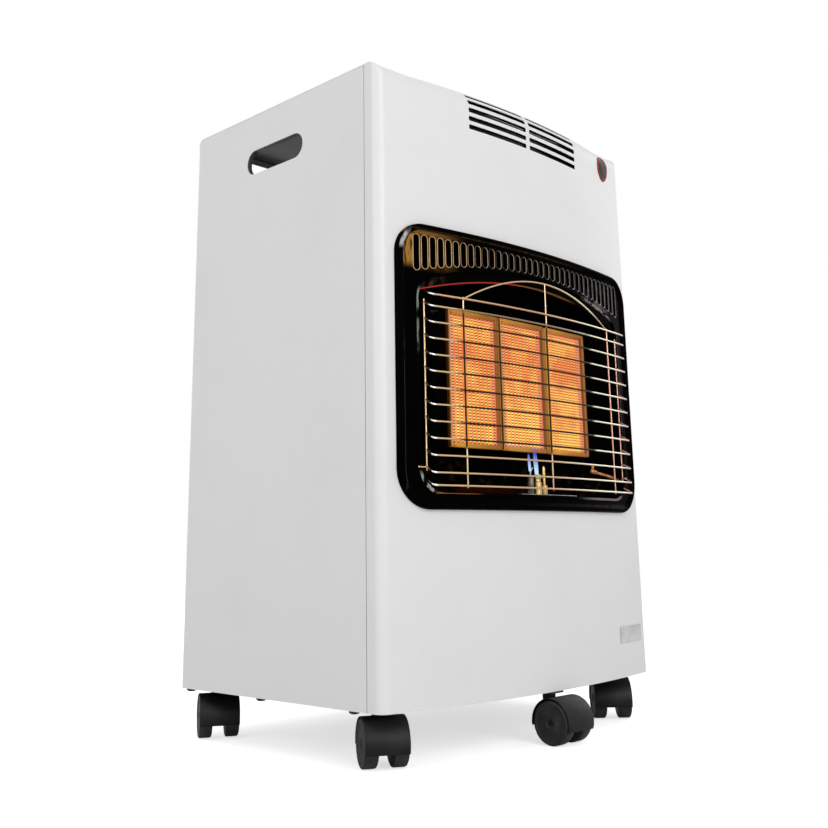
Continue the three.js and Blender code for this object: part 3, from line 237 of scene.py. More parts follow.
# %% World
world = bpy.data.worlds.new("white_room")
world.use_nodes = True
bpy.context.scene.world = world
room = world.node_tree
sight = room.nodes.new("ShaderNodeLightPath")
seen = Link(room, sight.outputs["Is Camera Ray"]).most(Link(room, sight.outputs["Is Glossy Ray"]))
seen = seen.most(Link(room, sight.outputs["Is Transmission Ray"]))
AMBIENT = 0.44    # strength of the world where it lights the heater; it is seen at 1
room.nodes["Background"].inputs["Color"].default_value = (1.0, 1.0, 1.0, 1.0)
join(room, room.nodes["Background"].inputs["Strength"], seen * (1.0 - AMBIENT) + AMBIENT)
bpy.context.scene.view_settings.view_transform = "Standard"
print("world lights the heater at", AMBIENT)

# %% Floor
FLOOR_REACH, FLOOR_GREY, FLOOR_GLOW = 6, 0.86, 0.64
floor_mesh = bpy.data.meshes.new("floor")
floor_corners = [(x * FLOOR_REACH, y * FLOOR_REACH, 0) for x, y in ((-1, -1), (1, -1), (1, 1), (-1, 1))]
floor_mesh.from_pydata(floor_corners, [], [(0, 1, 2, 3)])
floor = bpy.data.objects.new("floor", floor_mesh)
bpy.context.scene.collection.objects.link(floor)
pale = Finish("pale_floor", Base_Color=(*[FLOOR_GREY] * 3, 1.0), Roughness=0.8, Specular_IOR_Level=0.0)
look = pale.tree.nodes.new("ShaderNodeLightPath")
glow = pale.tree.nodes.new("ShaderNodeEmission")
join(pale.tree, glow.inputs["Strength"], Link(pale.tree, look.outputs["Is Camera Ray"]) * FLOOR_GLOW)
both = pale.tree.nodes.new("ShaderNodeAddShader")
pale.tree.links.new(pale.shader.outputs[0], both.inputs[0])
pale.tree.links.new(glow.outputs[0], both.inputs[1])
pale.tree.links.new(both.outputs[0], pale.tree.nodes["Material Output"].inputs["Surface"])
floor_mesh.materials.append(pale.material)
print("floor reaches", FLOOR_REACH, "m each way")

# %% Lamps
def lamp(name, place, aim, width, height, power):
    """A soft rectangular lamp at a place, turned to face the point it aims at."""
    light = bpy.data.lights.new(name, "AREA")
    light.shape = "RECTANGLE"
    light.size, light.size_y, light.energy = width, height, power
    holder = bpy.data.objects.new(name, light)
    holder.location = place
    holder.rotation_euler = (Vector(aim) - Vector(place)).to_track_quat("-Z", "Y").to_euler()
    bpy.context.scene.collection.objects.link(holder)


LAMPS = {    # place and aim in metres, width and height in metres, power in watts
    "front_softbox": ((-0.90, -2.5, 1.6), (0.0, 0.0, 0.45), 1.6, 1.6, 24.0),
    "left_softbox": ((-2.6, 0.2, 1.3), (0.0, 0.0, 0.35), 1.4, 1.4, 14.0),
    "corner_strip": ((-0.30, -2.4, 0.75), (-0.2, -0.1, 0.40), 0.12, 1.6, 7.0),
    "back_softbox": ((0.6, 2.6, 1.6), (0.0, 0.0, 0.35), 1.6, 1.6, 16.0),
    "right_softbox": ((2.6, -0.4, 1.4), (0.0, 0.0, 0.35), 1.4, 1.4, 5.0)}
for name, setting in LAMPS.items():
    lamp(name, *setting)
print("lamps:", ", ".join(LAMPS))

# %% [markdown]
# ## White coat
#
# Powder coat is a matt to satin white with a very fine orange-peel skin. It gets slow changes of
# gloss, because no real coat is even, and a bump for the skin, which is far too fine for the mesh.
# Inside the cabinet the sheets are painted dark grey, as painted shade: it is how dark the inside
# looks through the hand slot. A mask of three ranges, one for each axis, is 1 where a point lies
# indoors, and it swaps the colours.

# %% White coat
white = Finish("white_powder_coat", Roughness=0.34, Specular_IOR_Level=0.35)
handling = white.noise(9.0, 4.0).rise(0.45, 0.80)
speckle = white.noise(420.0, 3.0).rise(0.35, 0.75)
coat = white.mix(handling, (0.800, 0.800, 0.798), (0.775, 0.776, 0.778))
coat = white.mix(speckle * 0.12, coat, (0.74, 0.74, 0.735))
# painted shade for the inside of the cabinet, as dark as it looks through the hand slot
indoor_painted_shade = white.mix(speckle, (0.070, 0.070, 0.073), (0.100, 0.100, 0.103))
between_sides = white.axis("X").size().fall(0.2240, 0.2244)
below_top = white.axis("Z").fall(0.7141, 0.7146)
seam_to_rear = white.axis("Y").band(-0.1170, -0.1160, 0.1897, 0.1903)
white.feed(
    Base_Color=white.mix(between_sides * below_top * seam_to_rear, coat, indoor_painted_shade),
    Roughness=white.noise(45.0, 3.0) * 0.10 + 0.28,
    Normal=white.bump(white.noise(900.0, 2.0), 0.00012, 0.35),
)
print("white coat:", len(white.tree.nodes), "nodes")

# %% [markdown]
# ## Black enamel
#
# The enamel round the fire is black and mirror smooth. Its glints and the reflections of the fire
# in it are painted into its colour, beside a few stains. Each is a mask and a colour. The mask is a
# range of x times a range of z, in metres, broken up by noise. One function makes the black, and
# each enamelled part hands it a function with its painted light and stains.

# %% Black enamel
def enamel_painted_light_and_stains(name, tints, rough, shine=0.004):
    """Black enamel; tints, called with the finish, x, z and proud, gives painted light and stains as (mask,
    colour).
    """
    finish = Finish(name, Specular_IOR_Level=shine, IOR=1.5)
    colour = finish.mix(finish.noise(14.0, 3.0), (0.0005, 0.0004, 0.0004), (0.0018, 0.0013, 0.0012))
    colour = finish.layers(colour, *tints(finish, finish.axis("X"), finish.axis("Z"), finish.proud()))
    return finish.feed(
        Base_Color=colour,
        Roughness=finish.noise(30.0, 4.0) * 0.06 + rough,
        Normal=finish.bump(finish.noise(160.0, 1.0), 0.00006, 0.30),
    )


def face_painted_reflections(finish, x, z, proud):
    """Painted reflections of the fire, gold-brown at the upper left and lilac at the right, and painted pale
    highlights on the rim.
    """
    streak = finish.noise(300.0, 3.0, (1.0, 1.0, 0.22)).rise(0.30, 0.56)
    low_face = proud.fall(0.0045, 0.0055)
    corner = x.band(-0.1990, -0.1960, -0.1800, -0.1780) * z.band(0.486, 0.498, 0.522, 0.527) * streak
    webs = x.band(-0.182, -0.178, -0.150, -0.120) * z.band(0.484, 0.496, 0.526, 0.529) * streak
    over = z.band(0.5252, 0.5262, 0.5285, 0.5300) * x.fall(-0.172, -0.110) * low_face
    patchy_reflection = finish.noise(70.0, 3.0).rise(0.46, 0.60)
    right = x.band(0.095, 0.110, 0.150, 0.168) * z.band(0.484, 0.490, 0.515, 0.524) * patchy_reflection
    crest = proud.rise(0.0055, 0.0066) * x.fall(-0.197, -0.189) * z.band(0.505, 0.512, 0.529, 0.533)
    side = x.band(-0.2002, -0.1995, -0.1982, -0.1975) * z.band(0.255, 0.275, 0.400, 0.430) * streak
    under = z.band(0.5292, 0.5298, 0.5308, 0.5314) * x.fall(0.02, 0.12) * streak
    # painted light: gold-brown and lilac reflections of the fire, and pale highlights on the rim
    return [
        (corner * low_face, (0.40, 0.20, 0.048)),
        (webs * low_face * 0.5, (0.16, 0.080, 0.022)),
        (over * 0.8, (0.24, 0.115, 0.028)),
        (right * low_face * 0.7, (0.16, 0.13, 0.14)),
        (crest * streak * 0.7, (0.62, 0.62, 0.64)),
        (side * 0.6, (0.10, 0.080, 0.065)),
        (under * 0.25, (0.12, 0.065, 0.025))]


def recess_glow_and_patches(finish, x, z, proud):
    """A dim red line, painted light of the fire on the floor of the recess, and brown patches low on its walls.
    """
    painted_fire_line = z.band(0.258, 0.261, 0.265, 0.270) * x.band(-0.10, -0.08, 0.02, 0.04)
    low_brown = finish.noise(90.0, 3.0).rise(0.55, 0.70) * z.fall(0.285, 0.300)
    return [(painted_fire_line * 0.12, (0.22, 0.020, 0.012)), (low_brown * 0.5, (0.030, 0.014, 0.006))]


enamel = enamel_painted_light_and_stains("black_enamel", face_painted_reflections, 0.045)
recess_black = enamel_painted_light_and_stains("recess_black", recess_glow_and_patches, 0.22, 0.001)
print("enamel:", len(enamel.tree.nodes), "nodes")

# %% [markdown]
# ## Heat
#
# A ceramic plaque burns the gas in hundreds of tiny holes on its face. Lit, each hole is a pale
# yellow point in a row, with a darker pit between one point and the next, and the whole plaque
# drifts from yellow to deep orange. Cosines of the position make the rows, and noise the drift.
# The border stays pinkish, and the pilot's flame lays a lilac haze on the foot of the middle one.
# The light comes from Emission Color, so the pattern stays put from every side.

# %% Glowing ceramic
STRIP, HOLES_ACROSS, HOLE_PITCH_Z = 0.082, 13, 0.0032    # metres, holes in a strip's width, metres
WAVE_X, WAVE_Z = 2 * np.pi * HOLES_ACROSS / STRIP, 2 * np.pi / HOLE_PITCH_Z
ROW_START = -1.5 * STRIP
ceramic = Finish("glowing_ceramic", Roughness=0.8, Emission_Strength=1.0)
ceramic_x, ceramic_z = ceramic.axis("X"), ceramic.axis("Z")
across, upward = (ceramic_x * WAVE_X).cosine(), (ceramic_z * WAVE_Z).cosine()
point = across.rise(-0.65, 0.70) * upward.rise(-0.50, 0.70)
pit = across.rise(-0.25, 0.65) * (upward * -1.0).rise(-0.20, 0.55)
border = ceramic.within(STRIP, ROW_START).size().rise(0.0285, 0.0305).most(ceramic_z.rise(0.4462, 0.4486))
drift = ceramic.noise(21.0, 4.0).rise(0.40, 0.60)
speck = ceramic.noise(150.0, 2.0).rise(0.30, 0.75)
low_part = ceramic_z.fall(0.31, 0.42)
cool_band = ceramic_z.band(0.385, 0.402, 0.412, 0.428) * 0.30
warmth = (drift * 0.50 + speck * 0.22 + low_part * 0.32 - cool_band).most(0.0).least(1.0)
body_glow = ceramic.mix(warmth, (0.72, 0.105, 0.010), (0.94, 0.38, 0.038))
body_glow = ceramic.mix(border, body_glow, (0.66, 0.15, 0.075))
point_glow = ceramic.mix(warmth, (1.04, 0.50, 0.080), (1.22, 1.02, 0.24))
point_glow = ceramic.mix(border, point_glow, (0.92, 0.44, 0.18))
pit_glow = ceramic.mix(warmth, (0.16, 0.010, 0.001), (0.28, 0.045, 0.003))
haze = ceramic_z.fall(0.3095, 0.3150) * ceramic_x.size().fall(0.026, 0.038) * 0.60
ceramic.feed(
    Base_Color=ceramic.mix(pit, (0.10, 0.06, 0.04), (0.02, 0.01, 0.01)),
    Emission_Color=ceramic.layers(
        body_glow, (point, point_glow), (pit, pit_glow), (haze, (0.42, 0.20, 0.40))),
    Normal=ceramic.bump(point * -1.0, 0.0006, 0.6),
)
print("ceramic:", len(ceramic.tree.nodes), "nodes")

# %% [markdown]
# ## Metal near the heat
#
# The frames of the plaques have turned golden brown, and a painted glow, the fire's light on them,
# lies over that. The same strips as on the ceramic place their dark inner edge, groove and rows of
# dark dots. The guard's plated wires carry painted reflections: straw at the left, nearly white at
# the right and reddish where the fire lights them. Those that cross the fire are seen against the
# light, so they are painted dark and dull.

# %% Frames of the plaques
frame_gold = Finish("heat_tinted_frame_painted_glow", Metallic=0.45, Emission_Strength=1.0)
frame_local = frame_gold.within(STRIP, ROW_START)
to_right = frame_local.rise(-0.030, 0.034)
rows = (frame_gold.axis("Z") * WAVE_Z).cosine().rise(-0.30, 0.40)
dark_dots = frame_local.band(-0.0374, -0.0368, -0.0352, -0.0346) * rows
inner = frame_local.band(0.0350, 0.0362, 0.0372, 0.0380)
groove = frame_local.size().rise(0.0398, 0.0404)
cloudy = frame_gold.noise(40.0, 4.0).rise(0.3, 0.7) * 0.4
gold = frame_gold.mix(to_right, (0.44, 0.21, 0.018), (0.28, 0.11, 0.010))
# painted glow: the fire's light laid on the frames as emission
painted_glow = frame_gold.mix(to_right, (0.22, 0.100, 0.010), (0.11, 0.040, 0.005))
frame_gold.feed(
    Base_Color=frame_gold.layers(
        gold, (cloudy, (0.24, 0.085, 0.008)), (dark_dots, (0.12, 0.025, 0.008)),
        (inner, (0.16, 0.055, 0.012)), (groove, (0.07, 0.025, 0.004))),
    Emission_Color=frame_gold.layers(
        painted_glow, (cloudy, (0.09, 0.026, 0.003)), (dark_dots, (0.05, 0.006, 0.002)),
        (inner, (0.055, 0.016, 0.002)), (groove, (0.020, 0.006, 0.001))),
    Roughness=frame_gold.noise(120.0, 3.0) * 0.25 + 0.32,
    Normal=frame_gold.bump(frame_gold.noise(700.0, 2.0), 0.00010, 0.5),
)
print("frame metal:", len(frame_gold.tree.nodes), "nodes")

# %% Plated wire
wire = Finish("plated_wire", Metallic=1.0, Specular_IOR_Level=0.08)
wire_x, wire_z, wire_out = wire.axis("X"), wire.axis("Z"), wire.proud()
over_fire = wire_x.band(-0.150, -0.133, 0.080, 0.090) * wire_z.band(0.296, 0.306, 0.440, 0.452)
right_legs = wire_out.fall(0.0156, 0.0161) * wire_x.rise(0.09, 0.11)
left_tip_highlights = wire_x.fall(-0.1735, -0.1690) * wire_out.rise(0.0140, 0.0150)
painted_fire_light = wire_x.band(-0.04, -0.02, 0.05, 0.07) * wire_z.fall(0.262, 0.2634)
# The colours across x and on the posts at the right are painted reflections. The left tips get painted
# highlights, the fire painted red light, and the bars over the fire painted dark shade.
wire.feed(
    Base_Color=wire.layers(
        wire.mix(wire_x.rise(-0.17, -0.03), (0.74, 0.54, 0.30), (0.64, 0.44, 0.27)),
        (wire_x.rise(-0.02, 0.10), (0.90, 0.86, 0.68)), (wire_x.rise(0.145, 0.165), (0.66, 0.47, 0.42)),
        (right_legs, (0.62, 0.36, 0.26)), (left_tip_highlights, (0.95, 0.95, 0.93)), (painted_fire_light, (0.60, 0.10, 0.06)),
        (over_fire, (0.026, 0.019, 0.008))),
    Roughness=wire.noise(140.0, 3.0) * 0.15 + 0.14,
    Metallic=1.0 - over_fire * 0.97,
)
print("plated wire:", len(wire.tree.nodes), "nodes")

# %% [markdown]
# ## Plain metals and plastics
#
# Zinc plate has cloudy spangle, drawn pipe is bright and even, cast brass is warm and a little
# uneven. Castor plastic is a dull black with a spark-eroded texture. Each is one short recipe of
# a colour range, a gloss range and a fine relief.

# %% Recipe for simple finishes
def simple_finish(name, dark, light, blobs, gloss, relief, metallic=0.0, **constants):
    """Colour from dark to light by noise; gloss is (roughness, spread); relief is (grain, depth in metres)."""
    finish = Finish(name, Metallic=metallic, **constants)
    rough, spread = gloss
    grain, depth = relief
    return finish.feed(
        Base_Color=finish.mix(finish.noise(blobs, 4.0).rise(0.35, 0.65), dark, light),
        Roughness=finish.noise(3.0 * blobs, 2.0) * spread + rough,
        Normal=finish.bump(finish.noise(grain, 2.0), depth, 0.5),
    )


zinc = simple_finish(
    "zinc_plate", (0.42, 0.43, 0.44), (0.60, 0.61, 0.62), 90.0, (0.28, 0.18), (300.0, 5e-5), 1.0)
steel = simple_finish(
    "sooty_steel", (0.002, 0.0016, 0.0014), (0.008, 0.006, 0.005), 50.0, (0.38, 0.2), (400.0, 8e-5),
    Specular_IOR_Level=0.03)
brass = simple_finish(
    "brass", (0.50, 0.33, 0.11), (0.78, 0.56, 0.24), 120.0, (0.18, 0.2), (600.0, 4e-5), 1.0)
copper = simple_finish(
    "tinted_copper", (0.30, 0.10, 0.025), (0.66, 0.30, 0.080), 140.0, (0.22, 0.2), (600.0, 4e-5), 0.8)
pipe = simple_finish(
    "drawn_pipe", (0.52, 0.52, 0.51), (0.74, 0.74, 0.73), 60.0, (0.25, 0.15), (900.0, 3e-5), 1.0)
glaze = simple_finish(
    "insulator_glaze", (0.060, 0.042, 0.028), (0.26, 0.21, 0.16), 110.0, (0.12, 0.1), (300.0, 3e-5))
black_plastic = simple_finish(
    "black_plastic", (0.012, 0.012, 0.013), (0.022, 0.022, 0.023), 40.0, (0.38, 0.15), (1800.0, 1.2e-4))
red_plastic = simple_finish(
    "red_plastic", (0.42, 0.012, 0.010), (0.55, 0.022, 0.016), 60.0, (0.20, 0.1), (500.0, 3e-5))
castor_black = simple_finish(
    "castor_nylon", (0.004, 0.004, 0.005), (0.010, 0.010, 0.011), 55.0, (0.36, 0.22), (1400.0, 1.5e-4),
    Specular_IOR_Level=0.22)
wheel_black = simple_finish(
    "wheel_nylon", (0.016, 0.016, 0.017), (0.028, 0.028, 0.029), 70.0, (0.42, 0.2), (1200.0, 1.2e-4),
    Specular_IOR_Level=0.30)
castor_steel = simple_finish(
    "black_oxide_steel", (0.03, 0.03, 0.03), (0.07, 0.07, 0.07), 80.0, (0.35, 0.2), (500.0, 6e-5), 1.0)
rubber = simple_finish(
    "black_rubber", (0.008, 0.008, 0.008), (0.018, 0.018, 0.017), 90.0, (0.55, 0.2), (900.0, 2e-4))
badge_red = simple_finish(
    "badge_red", (0.22, 0.003, 0.003), (0.34, 0.006, 0.005), 60.0, (0.16, 0.08), (400.0, 2e-5),
    Specular_IOR_Level=0.05)
badge_dark = simple_finish(
    "badge_dark", (0.004, 0.002, 0.002), (0.030, 0.012, 0.012), 130.0, (0.12, 0.08), (400.0, 2e-5),
    Specular_IOR_Level=0.05)
plate_grey = simple_finish(
    "plate_grey", (0.56, 0.57, 0.58), (0.66, 0.66, 0.67), 70.0, (0.30, 0.1), (500.0, 3e-5),
    Specular_IOR_Level=0.4)
print("materials", len(bpy.data.materials))

# %% [markdown]
# ## From numbers to meshes
#
# Every new piece is worked out as arrays of points. All of them are written in millimetres from
# the seam between the side panels and the front, as a fitter would measure, and one function
# turns them into the frame's metres. Points that fall together are merged and the faces are
# turned outwards, so each piece is a closed skin.

# %% Placing and building
SEAM = 118.1                     # millimetres from the frame's middle to the seam
MERGE, SLIVER = 2e-6, 1e-7       # metres: points nearer are merged, and shorter edges are dissolved
BEVEL_FROM = np.radians(40.0)    # edges sharper than this are rounded


def in_frame(points):
    """Millimetres from the seam to metres in the frame: y moves back by the seam's distance."""
    return (np.asarray(points, float) - [0.0, SEAM, 0.0]) / 1000.0


def spots(x, y, z):
    """Points from their x, y and z, where one number may stand for a whole row."""
    return np.stack(np.broadcast_arrays(x, y, z), -1)


def grid_faces(rows, columns, ring_rows=False, ring_columns=False):
    """Quads of a grid of rows by columns of points; a ring also joins the last line to the first."""
    row = np.arange(rows if ring_rows else rows - 1)
    column = np.arange(columns if ring_columns else columns - 1)
    row, column = np.meshgrid(row, column, indexing="ij")
    below, beside = (row + 1) % rows, (column + 1) % columns
    ring_of_four = [(row, column), (row, beside), (below, beside), (below, column)]
    return np.stack([r * columns + c for r, c in ring_of_four], -1).reshape(-1, 4)


class Shape:
    """Points and faces that grow as surfaces are added to them."""

    def __init__(self):
        self.points, self.faces, self.count = [], [], 0

    def add(self, points, *faces):
        """Add points and, counted from the first of them, the corners of faces."""
        points = np.asarray(points, float).reshape(-1, 3)
        self.points.append(points)
        for part in faces:
            self.faces += (np.asarray(part) + self.count).tolist()
        self.count += len(points)
        return self

    def grid(self, points, ring_rows=False, ring_columns=False, cap_rows=False):
        """A grid of points as quads, with the first and last rows filled in if they are to be capped."""
        rows, columns = points.shape[:2]
        faces = [grid_faces(rows, columns, ring_rows, ring_columns)]
        if cap_rows:
            faces += [[np.arange(columns).tolist()], [(np.arange(columns) + (rows - 1) * columns).tolist()]]
        return self.add(points, *faces)

    def hoop(self, rings):
        """Rings joined to each other all the way round, as a tyre is."""
        return self.grid(np.array(rings), ring_rows=True, ring_columns=True)

    def bar(self, rings):
        """Rings one after another, with the first and the last filled in."""
        return self.grid(np.array(rings), ring_columns=True, cap_rows=True)


def build(name, shape, finish, body="cabinet", replaces=(), crease=35.0, round_edge=0.0):
    """Make an object of a shape: place it, merge doubles, turn faces outwards, and let it ride."""
    mesh = bpy.data.meshes.new(name)
    mesh.from_pydata(in_frame(np.concatenate(shape.points)).tolist(), [], shape.faces)
    work = bmesh.new()
    work.from_mesh(mesh)
    bmesh.ops.remove_doubles(work, verts=work.verts, dist=MERGE)
    bmesh.ops.dissolve_degenerate(work, edges=work.edges, dist=SLIVER)
    bmesh.ops.recalc_face_normals(work, faces=work.faces)
    work.to_mesh(mesh)
    work.free()
    mesh.shade_smooth()
    mesh.set_sharp_from_angle(angle=np.radians(crease))
    mesh.materials.append(finish.material)
    piece = bpy.data.objects.new(name, mesh)
    bpy.context.scene.collection.objects.link(piece)
    if round_edge:
        bevel = piece.modifiers.new("round_edge", "BEVEL")
        bevel.width, bevel.segments, bevel.limit_method = round_edge / 1000.0, 2, "ANGLE"
        bevel.angle_limit = BEVEL_FROM
    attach(piece, body)
    if replaces:
        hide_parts(*replaces)
    print(f"{name}: {len(mesh.polygons)} faces, rides on {body}")
    return piece


# %% [markdown]
# ## Sheet metal
#
# A pressed sheet is a flat blank with holes, bent into shape. The blank is cut first: its outline,
# its holes and a lattice of inner points go through a Delaunay triangulation, which keeps the
# given edges and fills the rest with even triangles. A bending function then sends each flat
# point to its place in space, once for the outer face and once for the inner face.

# %% Cutting and bending sheets
SHEET = 1.0             # thickness of the cabinet's sheets
SHARPEST = 0.05         # smallest radius of a rounded corner
BATCHES = 40            # a lattice is tested in this many parts, to save memory


def line(start, end, steps):
    """Points along a straight line, without the last one."""
    share = np.arange(steps)[:, None] / steps
    return np.asarray(start, float) * (1 - share) + np.asarray(end, float) * share


def arc(x, z, radius, start, end, steps):
    """Points along an arc given in degrees, without the last one."""
    angle = np.radians(start + (end - start) * np.arange(steps) / steps)
    return np.stack([x + radius * np.cos(angle), z + radius * np.sin(angle)], -1)


def rounded_loop(x0, x1, z0, z1, low_radius, high_radius, inset=0.0, steps=(10, 40, 30)):
    """Anticlockwise rectangle with rounded corners, moved inwards by inset; steps for arc, width, height."""
    turn, wide, high = steps
    a, b, c, d = x0 + inset, x1 - inset, z0 + inset, z1 - inset
    low, top = max(low_radius - inset, SHARPEST), max(high_radius - inset, SHARPEST)
    return np.concatenate([
        line((a + low, c), (b - low, c), wide), arc(b - low, c + low, low, -90, 0, turn),
        line((b, c + low), (b, d - top), high), arc(b - top, d - top, top, 0, 90, turn),
        line((b - top, d), (a + top, d), wide), arc(a + top, d - top, top, 90, 180, turn),
        line((a, d - top), (a, c + low), high), arc(a + low, c + low, low, 180, 270, turn),
    ])


def ruler(stops, steps):
    """Marks along a line: each stretch between two stops is cut into its own number of equal steps."""
    parts = [np.linspace(a, b, n + 1)[:-1] for a, b, n in zip(stops, stops[1:], steps)]
    return np.concatenate([*parts, stops[-1:]])


def edge_of(across, up):
    """Anticlockwise outline of a rectangular blank, with a point at each mark of its two rulers."""
    return np.concatenate([
        np.stack([across[:-1], np.full(len(across) - 1, up[0])], -1),
        np.stack([np.full(len(up) - 1, across[-1]), up[:-1]], -1),
        np.stack([across[:0:-1], np.full(len(across) - 1, up[-1])], -1),
        np.stack([np.full(len(up) - 1, across[0]), up[:0:-1]], -1)])


def drawn_in(loop, inset):
    """A slot's outline drawn towards its middle, so that its sides and its ends move in by inset."""
    middle = loop.mean(0)
    half = np.abs(loop - middle).max(0)
    return middle + (loop - middle) * ((half - inset) / half)


def lattice(across, up, loops, clear):
    """Crossing points of two rulers that keep clear of every loop by a distance."""
    grid = np.stack(np.meshgrid(across, up, indexing="ij"), -1).reshape(-1, 2)
    edge = np.concatenate(loops)
    away = np.ones(len(grid), bool)
    for part in np.array_split(np.arange(len(grid)), BATCHES):
        gap = np.hypot(grid[part, None, 0] - edge[None, :, 0], grid[part, None, 1] - edge[None, :, 1])
        away[part] = gap.min(1) > clear
    return grid[away]


def inside(points, loop):
    """True where a ray to the right of a point crosses the loop an odd number of times."""
    (x0, z0), (x1, z1) = loop.T[:, :, None], np.roll(loop, -1, 0).T[:, :, None]
    x, z = points.T
    spans = (z0 > z) != (z1 > z)
    crossing = x0 + (z - z0) * (x1 - x0) / np.where(z1 == z0, 1.0, z1 - z0)
    return (spans & (crossing > x)).sum(0) % 2 == 1


def blank(loops, inner):
    """Flat triangles inside the first loop and outside the others."""
    points = np.concatenate([*loops, inner])
    edges, start = [], 0
    for loop in loops:
        index = np.arange(len(loop))
        edges += np.stack([index + start, (index + 1) % len(loop) + start], 1).tolist()
        start += len(loop)
    found = delaunay_2d_cdt([Vector(p) for p in points.tolist()], edges, [], 0, 1e-7)
    flat, triangles = np.array([tuple(p) for p in found[0]]), np.array(found[2])
    middle = flat[triangles].mean(1)
    keep = inside(middle, loops[0])
    for hole in loops[1:]:
        keep &= ~inside(middle, hole)
    return flat, triangles[keep]


def bend(shape, flat, triangles, outer, inner):
    """Closed sheet: triangles on the outer face, the same on the inner face, and walls along free edges."""
    count = len(flat)
    pairs = np.concatenate([triangles[:, [0, 1]], triangles[:, [1, 2]], triangles[:, [2, 0]]])
    key = pairs[:, 0] * count + pairs[:, 1]
    twin = pairs[:, 1] * count + pairs[:, 0]
    a, b = pairs[~np.isin(key, twin)].T
    walls = np.stack([a, a + count, b + count, b], -1)
    points = np.concatenate([outer(flat[:, 0], flat[:, 1]), inner(flat[:, 0], flat[:, 1])])
    return shape.add(points, triangles, triangles[:, ::-1] + count, walls)


# %% [markdown]
# ## The bowed front
#
# The front is one sheet: a shallow parabola in plan, a 12 mm radius at each side, and a roll over
# the top of 27 mm radius that runs back to the seam. Its flat blank has the distance round the
# front as one coordinate and the height, measured along the metal, as the other. Two columns of
# five louvres are cut where the front starts to roll. Behind each stands a black collar, painted
# shade that makes the slot look deep and dark.

# %% Shape of the front
HEIGHT, HALF, DEPTH, CLEAR = 715.0, 225.0, 310.0, 52.0      # half the width, depth behind the seam, gap below
SETBACK, BOW, SIDE_RADIUS, ROLL = 20.0, 25.0, 12.0, 27.0    # from the seam to the sides' arc, then the bow
LEAN = np.arctan(2 * BOW * (HALF - SIDE_RADIUS) / HALF**2)
JOIN = HALF - SIDE_RADIUS + SIDE_RADIUS * np.sin(LEAN)
ARC = SIDE_RADIUS * (np.pi / 2 - LEAN)
WALL = HEIGHT - ROLL - CLEAR
OVER = ROLL * np.pi / 2
BACK = 18.0                      # flat stretch of the top, from the roll to the seam
SEAM_GAP = 0.5                   # the front ends this far before the seam
ROLL_ROOM = 3.0                  # what the roll leaves free before the seam
CORNER_ROLL, LEAST_ROLL = 2.5, 1.5    # radius of the roll at the sides, and its smallest on the inner face


def front_y(x):
    """Parabola across the front, 25 mm deep."""
    return -SETBACK - BOW + BOW * (np.asarray(x) / HALF) ** 2


CORNER_Y = front_y(JOIN) + SIDE_RADIUS * np.cos(LEAN)
AROUND = JOIN + ARC + (-SEAM_GAP - CORNER_Y)


def roll_at(x):
    """Radius of the roll, which shrinks where the bow leaves less room in front of the seam."""
    return np.minimum(ROLL, -front_y(x) - ROLL_ROOM)


def front_sheet(u, v, depth):
    """Parabola, corner arc and return in plan; straight, quarter circle and flat in height."""
    out, side = np.abs(u), np.sign(u)
    turn = np.clip((out - JOIN) / ARC, 0, 1)
    corner = out > JOIN
    angle = np.where(corner, LEAN + turn * (np.pi / 2 - LEAN), np.arctan(2 * BOW * out / HALF**2))
    x = np.where(corner, HALF - SIDE_RADIUS + SIDE_RADIUS * np.sin(angle), out)
    beyond = np.clip(out - JOIN - ARC, 0, None)
    y = np.where(corner, CORNER_Y - SIDE_RADIUS * np.cos(angle) + beyond, front_y(out))
    roll = np.where(corner, CORNER_ROLL + (1 - turn) * (roll_at(JOIN) - CORNER_ROLL), roll_at(out))
    x, y = x - depth * np.sin(angle), y + depth * np.cos(angle)
    roll, top = np.maximum(roll - depth, LEAST_ROLL), HEIGHT - depth
    over = np.clip(v / OVER, 0, 1) * np.pi / 2
    straight = CLEAR + (v + WALL) * (top - roll - CLEAR) / WALL
    z = np.where(v < 0, straight, top - roll * (1 - np.sin(over)))
    y = np.minimum(y + roll * (1 - np.cos(over)), -SEAM_GAP)
    y = y + np.clip((v - OVER) / BACK, 0, 1) * (-SEAM_GAP - y)
    return np.stack([side * x, y, z], -1)


def front_v(x, z):
    """Height on the straight part of the front, as a coordinate of its blank."""
    return (z - CLEAR) * WALL / (HEIGHT - roll_at(x) - CLEAR) - WALL


# %% Front panel
BEZEL = (-206.0, 206.0, 240.0, 537.0, 40.0, 34.0)    # left, right, bottom, top, low and high radius
MOUTH_INSET = 5.1                                    # the hole in the front is this much smaller
LOUVRE_ROWS, LOUVRE_PITCH, LOUVRE_FIRST = 5, 10.2, 18.6
LOUVRE_HEIGHT, LOUVRE_LENGTH, LOUVRE_WEB, LOUVRE_RADIUS = 5.8, 97.0, 6.0, 1.6
SHADE_COLLAR = [(0.7, 0.0), (3.4, 0.0), (3.4, 0.6), (0.7, 0.6)]    # depth behind the face, distance inwards


def louvre(row, side):
    """Outline of one louvre on the blank: a long slot with small corners."""
    middle, half = LOUVRE_FIRST - LOUVRE_PITCH * row, LOUVRE_HEIGHT / 2
    inner, outer = LOUVRE_WEB / 2, LOUVRE_WEB / 2 + LOUVRE_LENGTH
    x0, x1 = (inner, outer) if side > 0 else (-outer, -inner)
    return rounded_loop(
        x0, x1, middle - half, middle + half, LOUVRE_RADIUS, LOUVRE_RADIUS, steps=(4, 24, 1))


